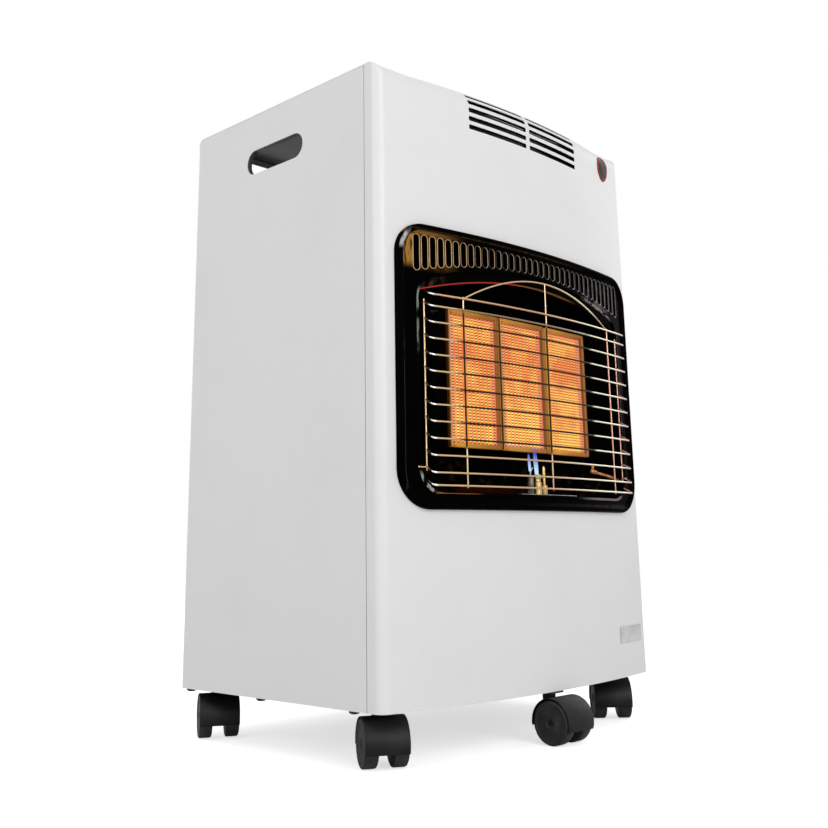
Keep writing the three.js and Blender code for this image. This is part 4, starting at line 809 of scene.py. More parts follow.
around = ruler([-AROUND, -JOIN - ARC, -JOIN, JOIN, JOIN + ARC, AROUND], (3, 12, 86, 12, 3))
upward_v = ruler([-WALL, 0, OVER, OVER + BACK], (63, 16, 4))
mouth = rounded_loop(*BEZEL, inset=MOUTH_INSET)
mouth[:, 1] = front_v(mouth[:, 0], mouth[:, 1])
louvres = [louvre(row, side) for row in range(LOUVRE_ROWS) for side in (-1, 1)]
front_loops = [edge_of(around, upward_v), mouth, *louvres]
front_flat, front_triangles = blank(front_loops, lattice(around[1:-1], upward_v[1:-1], front_loops, 1.3))
front = bend(
    Shape(), front_flat, front_triangles,
    lambda u, v: front_sheet(u, v, 0.0), lambda u, v: front_sheet(u, v, SHEET))
# black collars behind the louvres: painted shade
shade_collars = Shape()
for slot_loop in louvres:
    shade_collars.hoop([front_sheet(*drawn_in(slot_loop, inset).T, depth) for depth, inset in SHADE_COLLAR])
build("louvre_painted_shade", shade_collars, recess_black)
build("front_sheet", front, white, replaces=["front_panel"], crease=40.0)

# %% [markdown]
# ## Side panels and top
#
# Each side is a flat sheet with a hand slot whose edge is turned in, so that it doesn't cut the
# fingers. The top is flat and rolls down at the rear. Both come from the same two steps, a blank
# with holes and a bend. A narrow gap is left along the seam, as on the real cabinet.

# %% Side panels
SIDE_TOP, SIDE_REAR, SIDE_ROUND = HEIGHT - 1.3, DEPTH - 1.3, 6.0
SLOT_Y, SLOT_Z, SLOT_LENGTH, SLOT_HEIGHT = DEPTH / 2, HEIGHT - 61.0, 104.0, 30.0
SLOT_EDGE = [    # depth behind the face and distance outwards of the slot's turned-in edge
    (0.3, 0.3), (1.0, 0.0), (1.0, -0.01), (7.0, -0.01), (7.0, 1.0), (1.0, 1.0)]
FLANGE = [(1.0, 0.0), (1.0, 1.0), (12.0, 1.0), (12.0, 0.0)]    # depth and breadth of the folded edges


def stadium(x, z, length, height, turn=10, steps=20):
    """A slot with round ends."""
    end = height / 2 - SHARPEST
    return rounded_loop(
        x - length / 2, x + length / 2, z - height / 2, z + height / 2, end, end, steps=(turn, steps, 1))


def hand_slot(grow=0.0):
    """The hand slot's outline, moved outwards all round by grow."""
    return stadium(SLOT_Y, SLOT_Z, SLOT_LENGTH + 2 * grow, SLOT_HEIGHT + 2 * grow)


side_loops = [
    np.concatenate([
        line((SEAM_GAP, CLEAR), (SIDE_REAR, CLEAR), 31),
        line((SIDE_REAR, CLEAR), (SIDE_REAR, SIDE_TOP - SIDE_ROUND), 61),
        arc(SIDE_REAR - SIDE_ROUND, SIDE_TOP - SIDE_ROUND, SIDE_ROUND, 0, 90, 6),
        line((SIDE_REAR - SIDE_ROUND, SIDE_TOP), (SEAM_GAP, SIDE_TOP), 31),
        line((SEAM_GAP, SIDE_TOP), (SEAM_GAP, CLEAR), 61)]),
    hand_slot()]
side_flat, side_triangles = blank(
    side_loops, lattice(np.arange(10, 300, 10), np.arange(62, 705, 10), side_loops, 4.0))
for side, name in ((-1, "left"), (1, "right")):
    panel = bend(
        Shape(), side_flat, side_triangles,
        lambda y, z: spots(side * HALF, y, z), lambda y, z: spots(side * (HALF - SHEET), y, z))
    panel.hoop([spots(side * (HALF - depth), *hand_slot(grow).T) for depth, grow in SLOT_EDGE])
    for y_edge, toward in ((SEAM_GAP, 1), (SIDE_REAR, -1)):
        panel.bar([
            [(side * (HALF - 0.6 - depth), y_edge + toward * breadth, z) for depth, breadth in FLANGE]
            for z in (CLEAR + 1.3, SIDE_TOP - 12.0)])
    build(f"side_sheet_{name}", panel, white, replaces=[f"side_panel_{name}"],
          round_edge=0.25)

# %% Top panel
REAR_RADIUS, REAR_DROP = 8.0, 3.0
TOP_FLAT = DEPTH - REAR_RADIUS
TOP_ARC = REAR_RADIUS * np.pi / 2
KNOB_X, BUTTON_X, CONTROL_Y = 120.0, 34.0, 235.0
SPINDLE_HOLE, BUTTON_HOLE = 4.4, 6.9


def top_sheet(x, s, depth):
    """Flat to the rear edge, then a quarter circle down and a short drop; s runs along the metal."""
    turn = np.clip((s - TOP_FLAT) / TOP_ARC, 0, 1) * np.pi / 2
    radius = REAR_RADIUS - depth
    y = np.minimum(s, TOP_FLAT) + radius * np.sin(turn)
    z = HEIGHT - depth - radius * (1 - np.cos(turn)) - np.clip(s - TOP_FLAT - TOP_ARC, 0, None)
    return np.stack([x, y, z], -1)


def ring(x, z, radius, steps=24):
    """A full circle of points."""
    return arc(x, z, radius, 0, 360, steps)


top_x = np.linspace(-HALF, HALF, 46)
top_s = ruler([SEAM_GAP, TOP_FLAT, TOP_FLAT + TOP_ARC, TOP_FLAT + TOP_ARC + REAR_DROP], (30, 8, 1))
top_loops = [
    edge_of(top_x, top_s), ring(KNOB_X, CONTROL_Y, SPINDLE_HOLE), ring(BUTTON_X, CONTROL_Y, BUTTON_HOLE)]
top_flat, top_triangles = blank(top_loops, lattice(top_x[1:-1], top_s[1:-1], top_loops, 0.8))
top = bend(
    Shape(), top_flat, top_triangles, lambda x, s: top_sheet(x, s, 0.0), lambda x, s: top_sheet(x, s, SHEET))
build("top_sheet", top, white, replaces=["top_panel"], round_edge=0.25)

# %% [markdown]
# ## Bezel
#
# The black bezel is enamelled steel: a raised, rounded rim that stands 7 mm out of the front, and
# a face 3 mm out inside it. The rim is one profile carried round a rounded rectangle, and each of
# its points is then pushed onto the bow of the front. The face is a blank with an arched opening
# and a row of 35 upright vents, whose lower ends follow the arch.

# %% Rim of the bezel
RIM = [    # distance inwards from the bezel's edge, and distance behind the front's surface
    (0.0, -0.3), (0.0, -2.4), (0.25, -4.0), (0.8, -5.4), (1.7, -6.4), (2.8, -6.93), (4.0, -7.0), (5.2, -6.6),
    (6.2, -5.8), (7.1, -4.9), (8.0, -4.1), (9.0, -3.5), (10.2, -3.15), (11.4, -3.02), (11.4, -1.8), (5.8, -1.7),
    (5.6, -0.3)]


def on_front(x, z, back):
    """Put flat points on the bow of the front, a distance behind its surface."""
    return spots(x, front_y(x) + back, z)


bezel = Shape().hoop([
    on_front(*rounded_loop(*BEZEL, inset=inset, steps=(14, 60, 30)).T, back) for inset, back in RIM])
print("rim:", len(RIM), "points in its profile")

# %% Opening, vents and face of the bezel
OPENING = (180.0, 256.0, 475.0, 503.5)    # half width, bottom, shoulder and crown
LOW_TURN, HIGH_TURN = 30.0, 20.0          # size of the lower and the upper corners
VENTS, VENT_REACH, VENT_WIDTH = 35, 180.6, 8.2
VENT_TOP, VENT_LOW, VENT_DROP = 525.0, 506.5, 21.0
FACE_INSET, FACE_OUT, FACE_IN = 8.8, -3.0, -1.6


def pulled(start, pull, end, steps):
    """Quadratic curve from start to end, drawn towards a third point, without its last point."""
    start, pull, end = np.array(start), np.array(pull), np.array(end)
    share = np.arange(steps)[:, None] / steps
    return start * (1 - share) ** 2 + pull * 2 * share * (1 - share) + end * share**2


def arch(half, bottom, shoulder, crown, grow=0.0, steps=(60, 10, 24, 64)):
    """Anticlockwise: flat bottom, quarter-circle corners, upright sides, rounded shoulders, parabola on top."""
    wide, turn, high, over = steps
    side, base, radius = half + grow, bottom - grow, LOW_TURN
    edge = side - HIGH_TURN
    x = edge * (1 - 2 * np.arange(over) / over)
    z = shoulder + (crown + grow - shoulder) * (1 - (x / side) ** 2)
    return np.concatenate([
        line((-side + radius, base), (side - radius, base), wide),
        arc(side - radius, base + radius, radius, -90, 0, turn),
        line((side, base + radius), (side, shoulder - HIGH_TURN), high),
        pulled((side, shoulder - HIGH_TURN), (side, shoulder), (edge, z[0]), turn),
        np.stack([x, z], -1),
        pulled((-edge, z[0]), (-side, shoulder), (-side, shoulder - HIGH_TURN), turn),
        line((-side, shoulder - HIGH_TURN), (-side, base + radius), high),
        arc(-side + radius, base + radius, radius, 180, 270, turn)])


def vent(index, inset=0.0):
    """One upright vent: a slot with a level top, whose bottom follows the arch."""
    share = 2 * index / (VENTS - 1) - 1
    x, half = share * VENT_REACH, VENT_WIDTH / 2
    return rounded_loop(
        x - half, x + half, VENT_LOW - VENT_DROP * share**2, VENT_TOP, half - SHARPEST, half - SHARPEST,
        inset=inset, steps=(7, 1, 5))


face_loops = [
    rounded_loop(*BEZEL, inset=FACE_INSET, steps=(10, 60, 30)), arch(*OPENING),
    *[vent(index) for index in range(VENTS)]]
face_flat, face_triangles = blank(
    face_loops, lattice(np.arange(-192, 193, 6.4), np.arange(251, 530, 7), face_loops, 2.2))
bend(bezel, face_flat, face_triangles,
     lambda x, z: on_front(x, z, FACE_OUT), lambda x, z: on_front(x, z, FACE_IN))
build("bezel_enamel", bezel, enamel, replaces=["bezel"], crease=40.0)

# %% [markdown]
# ## Bead, recess and visor
#
# The edge of the big opening is a thick rolled bead, a circle carried round the arched outline.
# Behind it the recess tapers to the burners: its rings go in straight lines from the opening to
# a smaller outline at the rear, once for the lining and once for the casing. Under the arch hangs
# a visor, deepest in the middle, that keeps the flames' heat off the vents; its lower edge is painted
# red with the fire's light. The enamel is black here too, with painted glints and reflections of the
# fire, and a few stains.

# %% Bead of the opening
def bead_highlights(finish, x, z, proud):
    """Painted highlights: a pale broken line on the crest at the left, gold below it, lilac-grey to the right.
    """
    crest = proud.rise(0.0036, 0.0041)
    broken = finish.noise(240.0, 3.0, (1.0, 1.0, 0.3)).rise(0.36, 0.56)
    left = x.fall(-0.178, -0.174) * z.band(0.395, 0.415, 0.462, 0.470)
    curve = x.fall(-0.168, -0.158) * z.fall(0.268, 0.280)
    gold_glint = z.band(0.2557, 0.2563, 0.2571, 0.2577) * crest * x.band(-0.165, -0.155, -0.115, -0.095)
    low_right = z.fall(0.258, 0.262) * crest * x.band(0.06, 0.11, 0.165, 0.172)
    arch_right = x.rise(0.085, 0.125) * x.fall(0.150, 0.170) * z.rise(0.470, 0.478)
    side_right = x.rise(0.172, 0.178) * z.band(0.330, 0.350, 0.450, 0.478)
    return [
        (left * crest * broken, (0.20, 0.23, 0.18)),
        (curve * crest * broken, (0.52, 0.52, 0.50)),
        (gold_glint, (0.38, 0.17, 0.036)),
        (low_right * 0.7, (0.30, 0.25, 0.26)),
        (arch_right * broken * 0.9, (0.46, 0.41, 0.42)),
        (side_right * crest * 0.5, (0.10, 0.085, 0.10))]


BEAD_RADIUS, BEAD_OUT, BEAD_BACK = 2.3, 0.8, -2.0    # and its middle, outwards and behind the surface
bead_profile = [
    (BEAD_OUT - BEAD_RADIUS * np.cos(a), BEAD_RADIUS * np.sin(a) + BEAD_BACK)
    for a in np.linspace(0, 2 * np.pi, 17)[:-1]]
bead = Shape().hoop([on_front(*arch(*OPENING, grow=grow).T, back) for grow, back in bead_profile])
build("opening_bead", bead, enamel_painted_light_and_stains("bead_enamel", bead_highlights, 0.045))

# %% Recess
MOUTH_BACK, REAR_Y = -0.6, 3.0
LINING, CASING = 2.0, 3.0                     # how far the recess's two walls lie outside the opening
FLOOR_RISE = 6.0
REAR = (OPENING[0] - 40.0, OPENING[1] + FLOOR_RISE, OPENING[2] - 6.0, OPENING[3] - 18.0)
WINDOW = (-125.5, 125.5, 303.5, 457.5)        # the plaques show through it


def recess_ring(share, grow):
    """A ring of the recess between the opening and the rear, straight lines from front to back."""
    mouth_ring = on_front(*arch(*OPENING, grow=grow).T, MOUTH_BACK)
    rear = arch(*REAR, grow=grow)
    return mouth_ring * (1 - share) + spots(rear[:, 0], REAR_Y, rear[:, 1]) * share


recess = Shape().hoop(
    [recess_ring(share, LINING) for share in np.linspace(0, 1, 9)]
    + [recess_ring(share, CASING) for share in np.linspace(1, 0, 9)])
rear_loops = [arch(*REAR, grow=2.6), rounded_loop(*WINDOW, 3.0, 3.0, steps=(4, 30, 20))]
rear_flat, rear_triangles = blank(
    rear_loops, lattice(np.arange(-136, 137, 8), np.arange(268, 484, 8), rear_loops, 3.0))
bend(recess, rear_flat, rear_triangles,
     lambda x, z: spots(x, REAR_Y - 1.0, z), lambda x, z: spots(x, REAR_Y - 0.02, z))
build("recess_enamel", recess, recess_black, replaces=["burner_surround"], crease=40.0)

# %% Visor
VISOR_HALF, VISOR_LOW, VISOR_DROP, VISOR_REACH = 177.6, 490.5, 24.0, 171.5
VISOR_CURVE = 0.816    # the same drop as the shader sees it, in metres: z = VISOR_LOW - VISOR_CURVE * x * x


def edge_height(x):
    """Height of the opening's upper edge at x: the parabola, and the rounded shoulder beyond it."""
    half, _, shoulder, crown = OPENING
    out = np.minimum(np.abs(x), half)
    curve = shoulder + (crown - shoulder) * (1 - (np.minimum(out, half - HIGH_TURN) / half) ** 2)
    reach = np.sqrt(np.clip((half - out) / HIGH_TURN, 0, 1))
    rounded = (shoulder - HIGH_TURN) * (1 - reach) ** 2 + shoulder * 2 * reach * (1 - reach) + curve * reach**2
    return np.where(out > half - HIGH_TURN, rounded, curve)


def visor_light_and_stain(finish, x, z, proud):
    """Painted light of the fire on the lower edge, red at the left and gold-brown in the middle; a brown stain
    at the left tip.
    """
    rim = (z + x ** 2.0 * VISOR_CURVE - VISOR_LOW / 1000).fall(0.0008, 0.0018)
    stain = finish.noise(160.0, 3.0).rise(0.40, 0.62) * x.fall(-0.160, -0.135)
    return [
        (stain * 0.6, (0.060, 0.042, 0.024)),
        (rim * x.fall(0.05, 0.085), (0.22, 0.105, 0.028)),
        (rim * x.fall(-0.045, -0.015), (0.46, 0.030, 0.032))]


visor_profile = [    # distance behind the front, share of the way up to the opening, and mm above that
    (-1.5, 1.0, 0.6), (-1.5, 0.0, 0.7), (-1.3, 0.0, 0.15), (-0.9, 0.0, 0.0), (0.0, 0.0, 0.2), (8.0, 0.0, 2.6),
    (8.0, 0.0, 3.2), (-0.2, 0.0, 1.3), (-0.6, 0.0, 1.8), (-0.6, 1.0, 0.6)]
visor_x = np.linspace(-VISOR_HALF, VISOR_HALF, 75)
visor_top = edge_height(visor_x)
visor_low = np.minimum(VISOR_LOW - VISOR_DROP * (visor_x / VISOR_REACH) ** 2, visor_top - 0.4)
visor = Shape().bar(np.stack([
    on_front(visor_x, visor_low + share * (visor_top - visor_low) + up, back)
    for back, share, up in visor_profile], 1))
build("visor", visor, enamel_painted_light_and_stains("visor_enamel", visor_light_and_stain, 0.20))

# %% [markdown]
# ## Hood behind the vents
#
# Through the vents of the bezel one sees no light, because a folded hood of black sheet stands
# behind them, painted shade that keeps the vents dark. It is one profile carried across the front,
# whose first and last points follow the bow while the rest stay in a plane, and a small plate closes
# each end.

# %% Hood behind the vents
HOOD_HALF, HOOD_TOP, HOOD_LOW = 200.0, 547.0, 489.0
hood_profile = [    # y, whether it is fixed or counted from the bowed front, and height
    (1.5, False, HOOD_TOP), (7.0, True, HOOD_TOP), (7.0, True, HOOD_LOW), (6.0, True, HOOD_LOW),
    (6.0, True, HOOD_TOP - 1.0), (1.5, False, HOOD_TOP - 1.0)]
hood_x = np.linspace(-HOOD_HALF, HOOD_HALF, 61)
vent_shade_hood = Shape().bar(np.stack([
    spots(hood_x, y if fixed else front_y(hood_x) + y, z) for y, fixed, z in hood_profile], 1))
near, far = front_y(HOOD_HALF) + 1.5, 6.5
end_plate = [(near, HOOD_LOW), (far, HOOD_LOW), (far, HOOD_TOP - 0.5), (near, HOOD_TOP - 0.5)]
for side in (-1.0, 1.0):
    vent_shade_hood.bar([[(side * x, y, z) for y, z in end_plate] for x in (HOOD_HALF - 0.1, HOOD_HALF + 0.9)])
build("vent_shade_hood", vent_shade_hood, recess_black)

# %% [markdown]
# ## Lips of the vents
#
# Each vent has a thin bright edge, a painted reflection of the fire on the pressed lip: straw
# at the left, greyer to the right. It is a hair-thin ring carried round the vent's outline. Except
# at the far left, only the right half of each lip shines, which a mask over equal strips picks out;
# the left half is painted dark, and the lower ends get painted highlights.

# %% Lips of the vents
LIP_RADIUS, LIP_OUT, LIP_BACK = 0.40, -0.05, -3.05
LIP_CURVE, LIP_END = 0.6216, 0.5065              # the vents' lower ends: z = LIP_END - LIP_CURVE * x * x
VENT_PITCH = 2 * VENT_REACH / (VENTS - 1) / 1000
lip_painted_glint = Finish("vent_lip", Metallic=0.35)
lip_x = lip_painted_glint.axis("X")
lip_side = lip_painted_glint.within(VENT_PITCH, -VENT_REACH * VENTS / (VENTS - 1) / 1000).rise(-0.0010, 0.0016)
above_end = lip_painted_glint.axis("Z") + lip_x ** 2.0 * LIP_CURVE - LIP_END
# painted reflection of the fire, painted dark on each lip's left half, painted highlights at the ends
lip_painted_glint.feed(
    Base_Color=lip_painted_glint.layers(
        lip_painted_glint.mix(lip_x.rise(-0.15, -0.02), (0.62, 0.40, 0.17), (0.34, 0.25, 0.17)),
        (lip_x.rise(0.0, 0.10), (0.17, 0.135, 0.12)),
        (above_end.fall(0.0012, 0.0030) * lip_x.rise(-0.02, 0.08), (0.56, 0.51, 0.52)),
        ((1.0 - lip_side) * lip_x.rise(-0.15, -0.08), (0.020, 0.015, 0.012))),
    Roughness=lip_painted_glint.noise(200.0, 2.0) * 0.2 + 0.16,
)
lip_profile = [
    (LIP_RADIUS * np.cos(a) + LIP_OUT, LIP_RADIUS * np.sin(a) + LIP_BACK)
    for a in np.linspace(0, 2 * np.pi, 7)[:-1]]
lips = Shape()
for index in range(VENTS):
    lips.hoop([on_front(*vent(index, inset).T, back) for inset, back in lip_profile])
build("vent_lips", lips, lip_painted_glint)

# %% [markdown]
# ## Wire guard
#
# Thirteen bowed bars keep hands off the fire. They are round wire, with ends bent back and up, and
# are welded to uprights. A round wire is a circle carried along a path. At each point of the path
# the circle stands square to the direction of travel, and a small dome closes each end.

# %% Round wires
DOME = np.radians([80.0, 50.0, 20.0])    # angles of the rings of the dome that closes a wire's end
UPRIGHT = (0.0, -1.0, 0.0)               # what counts as up along an upright wire


def wire_along(shape, path, radius, sides=8, up=(0.0, 0.0, 1.0)):
    """Carry a circle along a path: side = travel x up, and the circle lies in side and side x travel."""
    path = np.asarray(path, float)
    travel = np.gradient(path, axis=0)
    travel /= np.linalg.norm(travel, axis=1, keepdims=True)
    side = np.cross(travel, up)
    side /= np.linalg.norm(side, axis=1, keepdims=True)
    over = np.cross(side, travel)
    size = np.full(len(path), radius)
    start = path[0] - travel[0] * radius * np.sin(DOME)[:, None]
    end = path[-1] + travel[-1] * radius * np.sin(DOME[::-1])[:, None]
    path = np.concatenate([start, path, end])
    size = np.concatenate([radius * np.cos(DOME), size, radius * np.cos(DOME[::-1])])
    side = np.concatenate([side[:1]] * len(DOME) + [side] + [side[-1:]] * len(DOME))
    over = np.concatenate([over[:1]] * len(DOME) + [over] + [over[-1:]] * len(DOME))
    angle = np.linspace(0, 2 * np.pi, sides, endpoint=False)
    circle = side[:, None] * np.cos(angle)[:, None] + over[:, None] * np.sin(angle)[:, None]
    return shape.bar(path[:, None] + size[:, None, None] * circle)


def soften(points, radius, steps=5):
    """Round the inner corners of a path: each becomes a short curve between points on its two legs."""
    points = np.asarray(points, float)
    share = np.linspace(0, 1, steps)[:, None]
    parts = [points[:1]]
    for before, corner, after in zip(points, points[1:], points[2:]):
        reach = [min(radius, 0.45 * np.linalg.norm(other - corner)) for other in (before, after)]
        enter = corner + (before - corner) / np.linalg.norm(before - corner) * reach[0]
        leave = corner + (after - corner) / np.linalg.norm(after - corner) * reach[1]
        parts.append(enter * (1 - share) ** 2 + corner * 2 * share * (1 - share) + leave * share**2)
    return np.concatenate([*parts, points[-1:]])


# %% Guard
BAR_Z = np.concatenate([[263.4], 275.9 + 17.0 * np.arange(11), [458.4]])
BAR_HALF, PROUD, BAR_WIRE, POST_WIRE = 176.0, 16.5, 1.05, 1.0
POST_X, WELD, STUB = 131.0, 0.3, 1.5              # outer posts, bite of a weld, and what stands past a bar
BEND, END_BACK, END_UP = 3.0, 11.0, 6.0           # how a bar's end turns in, back and up
ARCH_TOP = 36.0
END_X, END_Y = BAR_HALF - BEND, front_y(BAR_HALF) - PROUD + END_BACK
FEET = ((1, BEND, -4.1), (-2, 1.5, 2.0))          # bar that a foot starts from, its reach, and its depth


def post_y(x):
    """Behind the bars by both wires' radii, less the weld."""
    return front_y(x) - PROUD + BAR_WIRE + POST_WIRE - WELD


guard = Shape()
bow_x = np.linspace(-BAR_HALF + BEND, BAR_HALF - BEND, 41)
for z in BAR_Z:
    bow = spots(bow_x, front_y(bow_x) - PROUD, z)
    elbow = (-BAR_HALF, front_y(BAR_HALF) - PROUD + 0.5, z)
    left = soften([(-END_X, END_Y, z + END_UP), elbow, bow[1]], 5.0)[:-1]
    right = (left * [-1.0, 1.0, 1.0])[::-1]
    wire_along(guard, np.concatenate([left, bow[1:-1], right]), BAR_WIRE)
for x in (-POST_X, 0.0, POST_X):
    top_z = BAR_Z[-1] + (ARCH_TOP if x == 0.0 else STUB)
    post = np.linspace((x, post_y(x), BAR_Z[0] - STUB), (x, post_y(x), top_z), 12)
    wire_along(guard, post, POST_WIRE, up=UPRIGHT)
arch_x = np.linspace(-POST_X, POST_X, 33)
arch_z = BAR_Z[-1] + ARCH_TOP * (1 - (arch_x / POST_X) ** 2)
wire_along(guard, spots(arch_x, post_y(arch_x), arch_z), POST_WIRE, up=UPRIGHT)
for side in (-1.0, 1.0):
    end_wire = [(side * END_X, END_Y + 1.2, BAR_Z[bar] + END_UP + past) for bar, past in ((1, -3.0), (-2, 3.0))]
    wire_along(guard, np.linspace(*end_wire, 12), POST_WIRE, up=UPRIGHT)
    for bar, reach, back in FEET:
        z, foot_x = BAR_Z[bar] + END_UP, OPENING[0] + reach
        foot_y = front_y(foot_x) + back
        foot = soften([(side * END_X, END_Y, z), (side * END_X, foot_y, z), (side * foot_x, foot_y, z)], 2.5)
        wire_along(guard, foot, POST_WIRE)
build("guard_wires", guard, wire, replaces=["wire_guard"], crease=60.0)

# %% [markdown]
# ## Burner frames
#
# Each plaque is held by a pressed frame that the heat has turned golden brown. It is a flat ring
# with a raised outer edge and a lip that slopes in to the ceramic. The three burners stand in a
# shallow fan, so each frame is turned about the upright axis of its own burner.

# %% Plaque frames
FAN, FAN_BACK, BURNER_PITCH = np.radians(2.4), 1.7, 82.0
FACE_Y, MID_Z = -25.3, 380.5
FRAME_HALF_X, FRAME_HALF_Z, FRAME_RADIUS = 40.5, 74.5, 2.5
BURNERS = {"left": -1, "centre": 0, "right": 1}
FRAME_PROFILE = [    # distance inwards from the frame's edge, and distance behind its face
    (0.0, 3.9), (0.0, 0.5), (0.5, 0.0), (1.3, 0.0), (1.8, 0.5), (3.2, 0.7), (4.0, 1.0), (4.6, 1.9), (5.0, 3.4),
    (4.6, 3.9)]


def fan_out(points, index):
    """Turn a burner's points about its upright axis and move them to its place in the row."""
    turn = index * FAN
    x, y, z = np.moveaxis(points, -1, 0)
    return np.stack([
        x * np.cos(turn) - y * np.sin(turn) + index * BURNER_PITCH,
        x * np.sin(turn) + y * np.cos(turn) + abs(index) * FAN_BACK, z], -1)


for name, index in BURNERS.items():
    rings = []
    for inset, back in FRAME_PROFILE:
        loop = rounded_loop(
            -FRAME_HALF_X, FRAME_HALF_X, MID_Z - FRAME_HALF_Z, MID_Z + FRAME_HALF_Z, FRAME_RADIUS, FRAME_RADIUS,
            inset=inset, steps=(4, 12, 20))
        rings.append(fan_out(spots(loop[:, 0], FACE_Y + back, loop[:, 1]), index))
    build(f"frame_pressing_{name}", Shape().hoop(rings), frame_gold, replaces=[f"plaque_frame_{name}"])

# %% [markdown]
# ## Pilot
#
# Below the middle plaque stands the pilot: a small brass burner with two blue flames, a
# thermocouple that proves the flame, and a spark electrode in a glazed insulator. They are turned
# parts, so each is a profile spun round an upright axis, with its heights counted from the seat.
# A copper lead comes in low at the right. The flames are thin glowing drops, which fade upwards.

# %% Turned parts
def turned(shape, profile, x, y, base=0.0, steps=20, tilt=(0.0, 0.0)):
    """Spin (radius, height above base) round an upright axis; tilt moves the axis in x and y per mm up."""
    radius, height = np.array(profile, float).T
    height = height + base
    angle = np.linspace(0, 2 * np.pi, steps, endpoint=False)
    radius, height = radius[:, None], height[:, None]
    lift = height - height[0]
    return shape.bar(spots(
        x + tilt[0] * lift + radius * np.cos(angle), y + tilt[1] * lift + radius * np.sin(angle), height))


# %% Pilot
PILOT_X, PILOT_Y, PILOT_GAP = 12.0, -28.0, 12.0    # the electrode and the probe stand a gap to each side
BRACKET, BRACKET_REAR = 2.1, 7.0
MOUTH_Y = -SETBACK - BOW + MOUTH_BACK
floor_share = (PILOT_Y + BRACKET_REAR - MOUTH_Y) / (REAR_Y - MOUTH_Y)
SEAT = OPENING[1] - LINING + floor_share * FLOOR_RISE + BRACKET
pilot = turned(Shape(), [
    (3.2, 0.0), (5.0, 0.1), (5.0, 5.6), (4.2, 6.4), (4.2, 7.4), (5.0, 8.0), (5.0, 13.0), (3.9, 14.2),
    (3.9, 17.0), (4.9, 17.6), (4.9, 20.6), (4.3, 21.6), (3.0, 22.0), (2.8, 20.5)], PILOT_X, PILOT_Y, SEAT)
build("pilot_jet", pilot, brass, replaces=["pilot_burner"])
probe = turned(Shape(), [
    (3.6, 0.0), (4.0, 0.3), (4.0, 9.8), (3.4, 10.5), (2.0, 11.0), (2.0, 29.5), (1.6, 31.2), (0.7, 32.0)],
    PILOT_X + PILOT_GAP, PILOT_Y, SEAT)
build("thermocouple_probe", probe, brass, replaces=["thermocouple"])
spark = turned(Shape(), [
    (2.9, 0.0), (3.5, 0.6), (3.5, 5.0), (2.9, 5.6), (2.9, 7.0), (3.5, 7.6), (3.5, 17.5), (2.6, 19.4),
    (1.2, 20.0)], PILOT_X - PILOT_GAP, PILOT_Y, SEAT)
build("spark_insulator", spark, glaze, replaces=["spark_electrode"])
pin_path = soften([
    (PILOT_X - PILOT_GAP, PILOT_Y, SEAT + 18.0), (PILOT_X - PILOT_GAP, PILOT_Y, SEAT + 24.5),
    (PILOT_X - 8.0, PILOT_Y, SEAT + 29.0)], 3.0)
build("spark_pin", wire_along(Shape(), pin_path, 0.8, up=UPRIGHT), zinc)

# %% Copper lead
lead_path = soften([
    (113.0, -33.0, 294.0), (113.0, -33.0, 287.5), (150.0, -30.0, 283.5), (179.4, -26.5, 279.0)], 4.0)
nut_path = [(111.0, -33.2, 287.8), (113.0, -33.0, 287.5), (117.0, -32.7, 287.1), (119.0, -32.5, 286.9)]
lead = Shape()
for path, radius in ((lead_path, 1.7), (nut_path, 2.9)):
    wire_along(lead, path, radius, up=UPRIGHT)
build("copper_lead", lead, copper)

# %% Flames
FLAME_TILT, FLAME_POINTS = (-0.03, 0.05), 14
flame = Finish("pilot_flame", Roughness=1.0, Specular_IOR_Level=0.0, Base_Color=(0.0, 0.0, 0.0, 1.0),
               Emission_Strength=1.0)
flame_up = flame.axis("Z").rise(SEAT / 1000 + 0.020, SEAT / 1000 + 0.050)
flame.feed(
    Emission_Color=flame.mix(flame_up, (0.62, 0.88, 1.0), (0.070, 0.11, 0.86)),
    Alpha=1.0 - flame_up * 0.65,
)
flames = Shape()
for x, y, low, high, wide in (
        (PILOT_X, PILOT_Y, 20.8, 51.0, 3.4), (PILOT_X - 14.5, PILOT_Y - 2.0, 25.0, 45.0, 2.2)):
    share = np.linspace(0, 1, FLAME_POINTS)
    radius = wide * (0.55 + 0.9 * share) * (1 - share) ** 0.55 + 0.05
    turned(flames, np.stack([radius, low + (high - low) * share], -1), x, y, SEAT, FLAME_POINTS, FLAME_TILT)
build("pilot_flames", flames, flame)

# %% [markdown]
# ## Castors
#
# Each castor has two wheels under one round hood. The hood is part of a drum: a thin wall with
# rounded edges, spun about the axle for a little more than half a turn. The wheels are discs
# with a dished outer face. A castor is built round its kingpin first and then turned and moved,
# so one set of profiles serves all five.

# %% Spinning about the axle
AXLE_Z, TRAIL = 22.4234, 17.0
HOOD_FROM, HOOD_TO = -8.0, 198.0    # degrees about the axle that the hood covers


def about_axle(shape, profile, start=0.0, end=360.0, steps=48):
    """Spin a closed profile of (x, radius) about the axle, from one angle to another in degrees."""
    full = end - start >= 360.0
    angle = np.radians(np.linspace(start, end, steps, endpoint=not full))
    x, radius = np.array(profile, float).T
    points = spots(x, -TRAIL + np.outer(np.cos(angle), radius), AXLE_Z + np.outer(np.sin(angle), radius))
    return shape.hoop(points) if full else shape.bar(points)


def heading_turn(shape, x, y, heading):
    """Turn a castor about its kingpin and move it to its place under the cabinet."""
    cosine, sine = np.cos(np.radians(heading)), np.sin(np.radians(heading))
    spin = np.array([[cosine, sine, 0.0], [-sine, cosine, 0.0], [0.0, 0.0, 1.0]])
    shape.points = [points @ spin + [x, y, 0.0] for points in shape.points]
    return shape


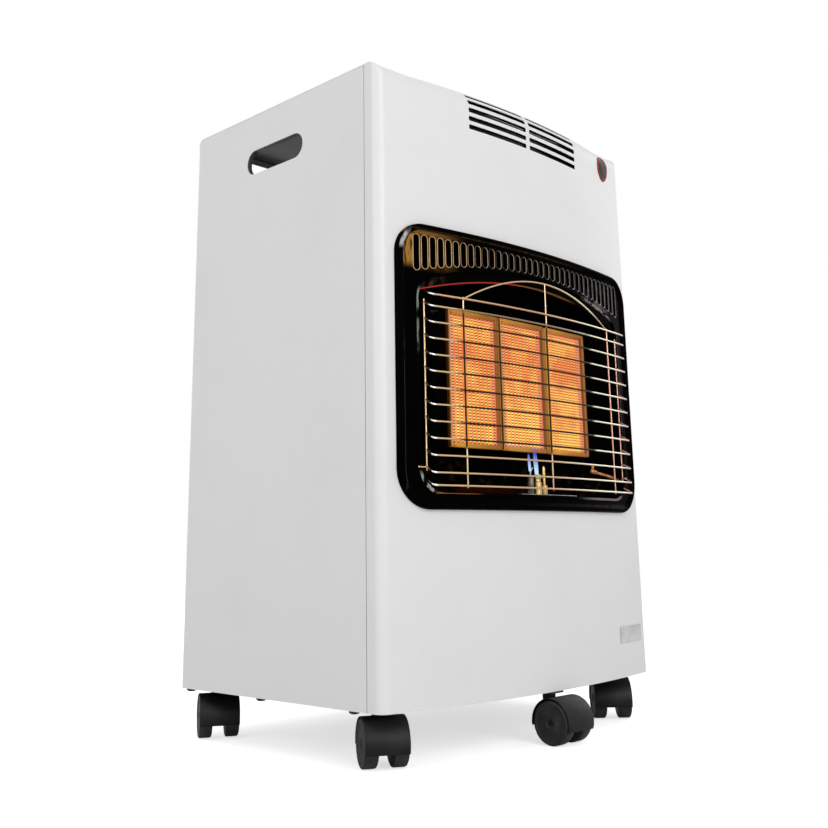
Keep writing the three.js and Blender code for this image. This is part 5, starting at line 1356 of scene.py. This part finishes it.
# %% Five castors
HOOD_PROFILE = [    # x and radius
    (-22.0, 23.75), (-22.0, 24.1), (-21.7, 24.55), (-21.0, 24.8), (21.0, 24.8), (21.7, 24.55), (22.0, 24.1),
    (22.0, 23.75), (21.0, 23.6), (-21.0, 23.6)]
RIB_PROFILE = [(-7.0, 3.0), (-7.0, 24.2), (7.0, 24.2), (7.0, 3.0)]
AXLE_PROFILE = [(-20.4, 2.98), (-20.4, 0.01), (20.4, 0.01), (20.4, 2.98)]
WHEEL_PROFILE = [
    (7.6, 3.4), (7.6, 20.6), (8.2, 21.9), (9.4, 22.4), (20.2, 22.4), (21.4, 21.9), (22.0, 20.8), (21.9, 19.4),
    (21.2, 18.6), (20.9, 17.6), (20.9, 9.4), (21.2, 8.6), (21.2, 5.6), (20.6, 5.0), (20.6, 3.4)]
CASTORS = {    # x, y of the kingpin and heading in degrees
    "front_left": (-190.0, 21.0, -31.0), "front_centre": (12.0, -32.0, 0.0),
    "front_right": (200.0, 24.0, -45.0), "rear_left": (-190.0, 290.0, -30.0),
    "rear_right": (190.0, 290.0, 30.0)}
for name, where in CASTORS.items():
    hood = about_axle(Shape(), HOOD_PROFILE, HOOD_FROM, HOOD_TO)
    about_axle(hood, RIB_PROFILE, HOOD_FROM, HOOD_TO)
    about_axle(hood, AXLE_PROFILE, steps=16)
    turned(hood, [(5.0, 26.5), (7.0, 27.0), (7.0, 48.6), (6.4, 49.0), (4.4, 49.0)], 0.0, 0.0)
    build(f"hood_{name}", heading_turn(hood, *where), castor_black, f"castor_{name}_swivel",
          [f"castor_{name}_hood"])
    for side, word in ((-1.0, "left"), (1.0, "right")):
        wheel = about_axle(Shape(), [(side * x, radius) for x, radius in WHEEL_PROFILE])
        build(f"wheel_{name}_{word}", heading_turn(wheel, *where), wheel_black, f"castor_{name}_wheel_{word}",
              [f"castor_{name}_wheel_{word}"])
print("castors", len(CASTORS))

# %% [markdown]
# ## Controls on top
#
# The knob is a turned cap with a grip bar across it and a white index line. It stands on a black
# plate with rounded edges, beside the red igniter button. Nothing is lettered: three dots of
# growing size round the knob stand for low, middle and high.

# %% Control plate
PLATE_LOW = HEIGHT + 0.3
PLATE_TOP = PLATE_LOW + 2.4
plate_loops = [
    rounded_loop(2.0, 152.0, 200.0, 270.0, 10.0, 10.0, steps=(10, 24, 12)),
    ring(KNOB_X, CONTROL_Y, 3.9), ring(BUTTON_X, CONTROL_Y, BUTTON_HOLE)]
plate_flat, plate_triangles = blank(
    plate_loops, lattice(np.arange(8, 148, 8), np.arange(206, 266, 8), plate_loops, 3.0))
plate = bend(Shape(), plate_flat, plate_triangles,
             lambda x, y: spots(x, y, PLATE_TOP), lambda x, y: spots(x, y, PLATE_LOW))
build("control_plate_moulding", plate, black_plastic, replaces=["control_plate"],
      round_edge=0.6)

# %% Knob
KNOB_LOW = PLATE_TOP + 4.6 + 4.0 + 0.3    # above the collar, the knob's travel and a gap
GRIP_HALF_X, GRIP_HALF_Y, GRIP_TOP = 4.5, 17.0, 17.0
knob = turned(Shape(), [
    (3.5, 0.0), (19.4, 0.0), (20.0, 0.6), (20.0, 2.6), (19.2, 3.2), (17.6, 8.2), (16.6, 9.0), (3.0, 9.2)],
    KNOB_X, CONTROL_Y, KNOB_LOW, 48)
grip = []
for inset, up in ((0.0, 3.0), (0.0, 15.6), (0.4, 16.5), (1.1, GRIP_TOP)):
    loop = rounded_loop(
        KNOB_X - GRIP_HALF_X, KNOB_X + GRIP_HALF_X, CONTROL_Y - GRIP_HALF_Y, CONTROL_Y + GRIP_HALF_Y, 3.0, 3.0,
        inset=inset, steps=(5, 4, 8))
    grip.append(spots(*loop.T, KNOB_LOW + up))
knob.bar(grip)
build("knob_moulding", knob, black_plastic, "control_turn", ["control_knob"])

# %% Printed marks
ink = Finish("white_ink", Roughness=0.5)
ink.feed(Base_Color=ink.mix(ink.noise(400.0, 2.0), (0.70, 0.70, 0.69), (0.80, 0.80, 0.79)))
loop = rounded_loop(KNOB_X - 0.7, KNOB_X + 0.7, CONTROL_Y - 16.0, CONTROL_Y - 5.0, 0.6, 0.6, steps=(3, 1, 4))
index_line = Shape().bar([spots(*loop.T, KNOB_LOW + GRIP_TOP - 0.1), spots(*loop.T, KNOB_LOW + GRIP_TOP)])
build("knob_index", index_line, ink, "control_turn")
DOT_REACH = 26.0
dots = Shape()
for degrees, radius in ((-60.0, 1.0), (0.0, 1.6), (60.0, 2.3)):
    turn = np.radians(degrees)
    turned(dots, [(radius, -0.05), (radius, 0.02), (0.5 * radius, 0.06), (0.02, 0.07)],
           KNOB_X + DOT_REACH * np.sin(turn), CONTROL_Y - DOT_REACH * np.cos(turn), PLATE_TOP, 16)
build("dial_dots", dots, ink)

# %% Igniter button
BUTTON_TOP, BUTTON_LENGTH = PLATE_TOP + 9.0, 18.1
button = turned(Shape(), [
    (5.6, -BUTTON_LENGTH), (6.4, 0.2 - BUTTON_LENGTH), (6.4, -1.6), (6.1, -0.7), (5.3, -0.2), (3.6, -0.5),
    (0.02, -0.9)], BUTTON_X, CONTROL_Y, BUTTON_TOP, 32)
build("button_moulding", button, red_plastic, "igniter_button", ["piezo_button"])

# %% [markdown]
# ## Rear cover
#
# The rear cover is a plain sheet that lifts off for the cylinder, with a finger slot near its top
# and eight low vents, because gas is heavier than air and must be able to drain away. It is
# another blank with slots, stiffened by a shallow fold down each side.

# %% Rear cover
COVER_HALF, COVER_LOW, COVER_HIGH, COVER_Y = 211.4, 53.3, 605.3, DEPTH - 0.3
COVER_VENTS, VENT_STEP = 8, 18.0
PANEL_BORDER, PANEL_SOFT, PANEL_DEPTH = 14.0, 6.0, 0.8
COVER_EDGE = [    # distance inwards and distance into the cabinet of a slot's turned-in edge
    (-0.9, 0.0), (-0.2, -0.35), (0.35, 0.2), (0.35, 3.0), (-0.4, 3.0), (-0.4, 0.8)]
FOLD = [(0.0, 0.5), (0.0, 11.0), (1.0, 11.0), (1.0, 0.5)]    # distance inwards and into the cabinet


def cover_y(x, z):
    """Flat, with a shallow pressed panel inside a soft border: a smooth step of the distance to the edge."""
    edge = np.minimum(COVER_HALF - np.abs(x), np.minimum(z - COVER_LOW, COVER_HIGH - z))
    step = np.clip((edge - PANEL_BORDER) / PANEL_SOFT, 0, 1)
    return COVER_Y - PANEL_DEPTH * step * step * (3 - 2 * step)


cover_loops = [rounded_loop(-COVER_HALF, COVER_HALF, COVER_LOW, COVER_HIGH, 2.0, 2.0, steps=(4, 44, 56))]
cover_loops += [stadium(0.0, COVER_LOW + 60.0 + VENT_STEP * i, 150.0, 6.0, 6, 30) for i in range(COVER_VENTS)]
cover_loops.append(stadium(0.0, COVER_HIGH - 34.0, 96.0, 24.0))
cover_flat, cover_triangles = blank(
    cover_loops, lattice(np.arange(-205, 206, 10), np.arange(60, 600, 10), cover_loops, 3.5))
cover = bend(Shape(), cover_flat, cover_triangles,
             lambda x, z: spots(x, cover_y(x, z), z), lambda x, z: spots(x, cover_y(x, z) - SHEET, z))
for hole in cover_loops[1:]:
    rings = []
    for inset, depth in COVER_EDGE:
        x, z = drawn_in(hole, inset).T
        rings.append(spots(x, COVER_Y - PANEL_DEPTH - depth, z))
    cover.hoop(rings)
for side in (-1.0, 1.0):
    cover.bar([
        [(side * (COVER_HALF - inset), COVER_Y - depth, z) for inset, depth in FOLD]
        for z in (66.6, COVER_HIGH - 0.3)])
build("cover_sheet", cover, white, "rear_cover", ["rear_cover"], crease=40.0)

# %% [markdown]
# ## Small things
#
# A round badge sits at the upper right of the front and a small blank plate at the lower right.
# Soft rubber buffers peep out under the sides, and screws hold the sheets. They are thin, but
# they give the cabinet its scale, so each gets its true size and a finish of its own.

# %% Badge and plate
BADGE = (174.5, -3.2, 14.0, 17.6)               # place on the front's blank, and half its width and height
BADGE_RIM = [(1.0, 0.02), (1.0, 0.7), (0.97, 1.0), (0.84, 1.0), (0.80, 0.6), (0.80, 0.1)]
BADGE_MIDDLE = [(0.81, 0.1), (0.81, 0.62), (0.60, 0.85), (0.30, 0.98), (0.01, 1.02)]
TAG_PROFILE = [(0.0, 0.25), (0.0, 0.8), (0.3, 1.1), (0.9, 1.1), (1.2, 0.9), (28.0 / 3, 0.9)]


def dome_on_front(x, v, half_x, half_v, profile, steps=40):
    """An oval button on the front's sheet: rings of a profile of (share of the oval, height)."""
    angle = np.linspace(0, 2 * np.pi, steps, endpoint=False)
    return Shape().bar([
        front_sheet(x + share * half_x * np.cos(angle), v + share * half_v * np.sin(angle), -up)
        for share, up in profile])


build("badge_rim", dome_on_front(*BADGE, BADGE_RIM), badge_red)
build("badge_middle", dome_on_front(*BADGE, BADGE_MIDDLE), badge_dark)
tag = Shape().bar([
    on_front(*rounded_loop(149.0, 207.0, 90.0, 109.0, 2.0, 2.0, inset=inset, steps=(4, 12, 5)).T, -up)
    for inset, up in TAG_PROFILE])
build("blank_tag", tag, plate_grey, replaces=["name_plate"])

# %% Buffers and screws
BUFFER_PROFILE = [(5.4, 51.9), (5.6, 51.0), (5.0, 49.6), (3.4, 48.8), (0.02, 48.6)]         # radius, height
SCREW_PROFILE = [(3.4, -0.3), (3.4, 0.4), (2.9, 1.1), (1.4, 1.5), (1.2, 0.7), (0.02, 0.5)]  # radius, depth
SCREW_X, SCREW_STEPS = 218.2, 16
buffers, screws = Shape(), Shape()
screw_angle = np.linspace(0, 2 * np.pi, SCREW_STEPS, endpoint=False)
for side in (-1.0, 1.0):
    for y in (25.0, 171.0, 300.0):
        turned(buffers, BUFFER_PROFILE, side * (HALF - 7.0), y, steps=24)
    for z in (90.0, 660.0):
        screws.bar([
            spots(side * SCREW_X + r * np.cos(screw_angle), SIDE_REAR + back, z + r * np.sin(screw_angle))
            for r, back in SCREW_PROFILE])
build("side_buffers", buffers, rubber)
build("rear_screws", screws, zinc)

# %% [markdown]
# ## Finishes for the parts that keep their own shape
#
# Many parts inside are simple enough already: pipes, brackets, burner trays, the valve. They keep
# the solid's mesh and only get a finish. A table pairs each finish with the names it goes on, and
# the last line prints every visible part that still has the plain grey it came with: there is none.

# %% Finishes for the remaining parts
KEPT = {
    white: ["base_tray"],
    recess_black: ["burner_bracket"],
    zinc: ["heat_shield", "pilot_bracket", "gas_valve", "spindle_collar", "valve_spindle"],
    steel: [f"burner_body_{name}" for name in BURNERS],
    ceramic: [f"ceramic_plaque_{name}" for name in BURNERS],
    brass: [*[f"injector_{name}" for name in BURNERS], "inlet_nozzle"],
    pipe: [*[f"feed_pipe_{name}" for name in BURNERS], "pilot_pipe"],
    black_plastic: ["piezo_igniter"],
    castor_steel: [f"castor_{name}_stem" for name in CASTORS],
}
for finish, names in KEPT.items():
    for name in names:
        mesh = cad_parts[name].data
        mesh.materials.clear()
        mesh.materials.append(finish.material)
finished = {name for names in KEPT.values() for name in names}
bare = {name for name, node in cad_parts.items() if not node.hide_render} - finished
print("kept", len(finished), "left without a finish", sorted(bare))
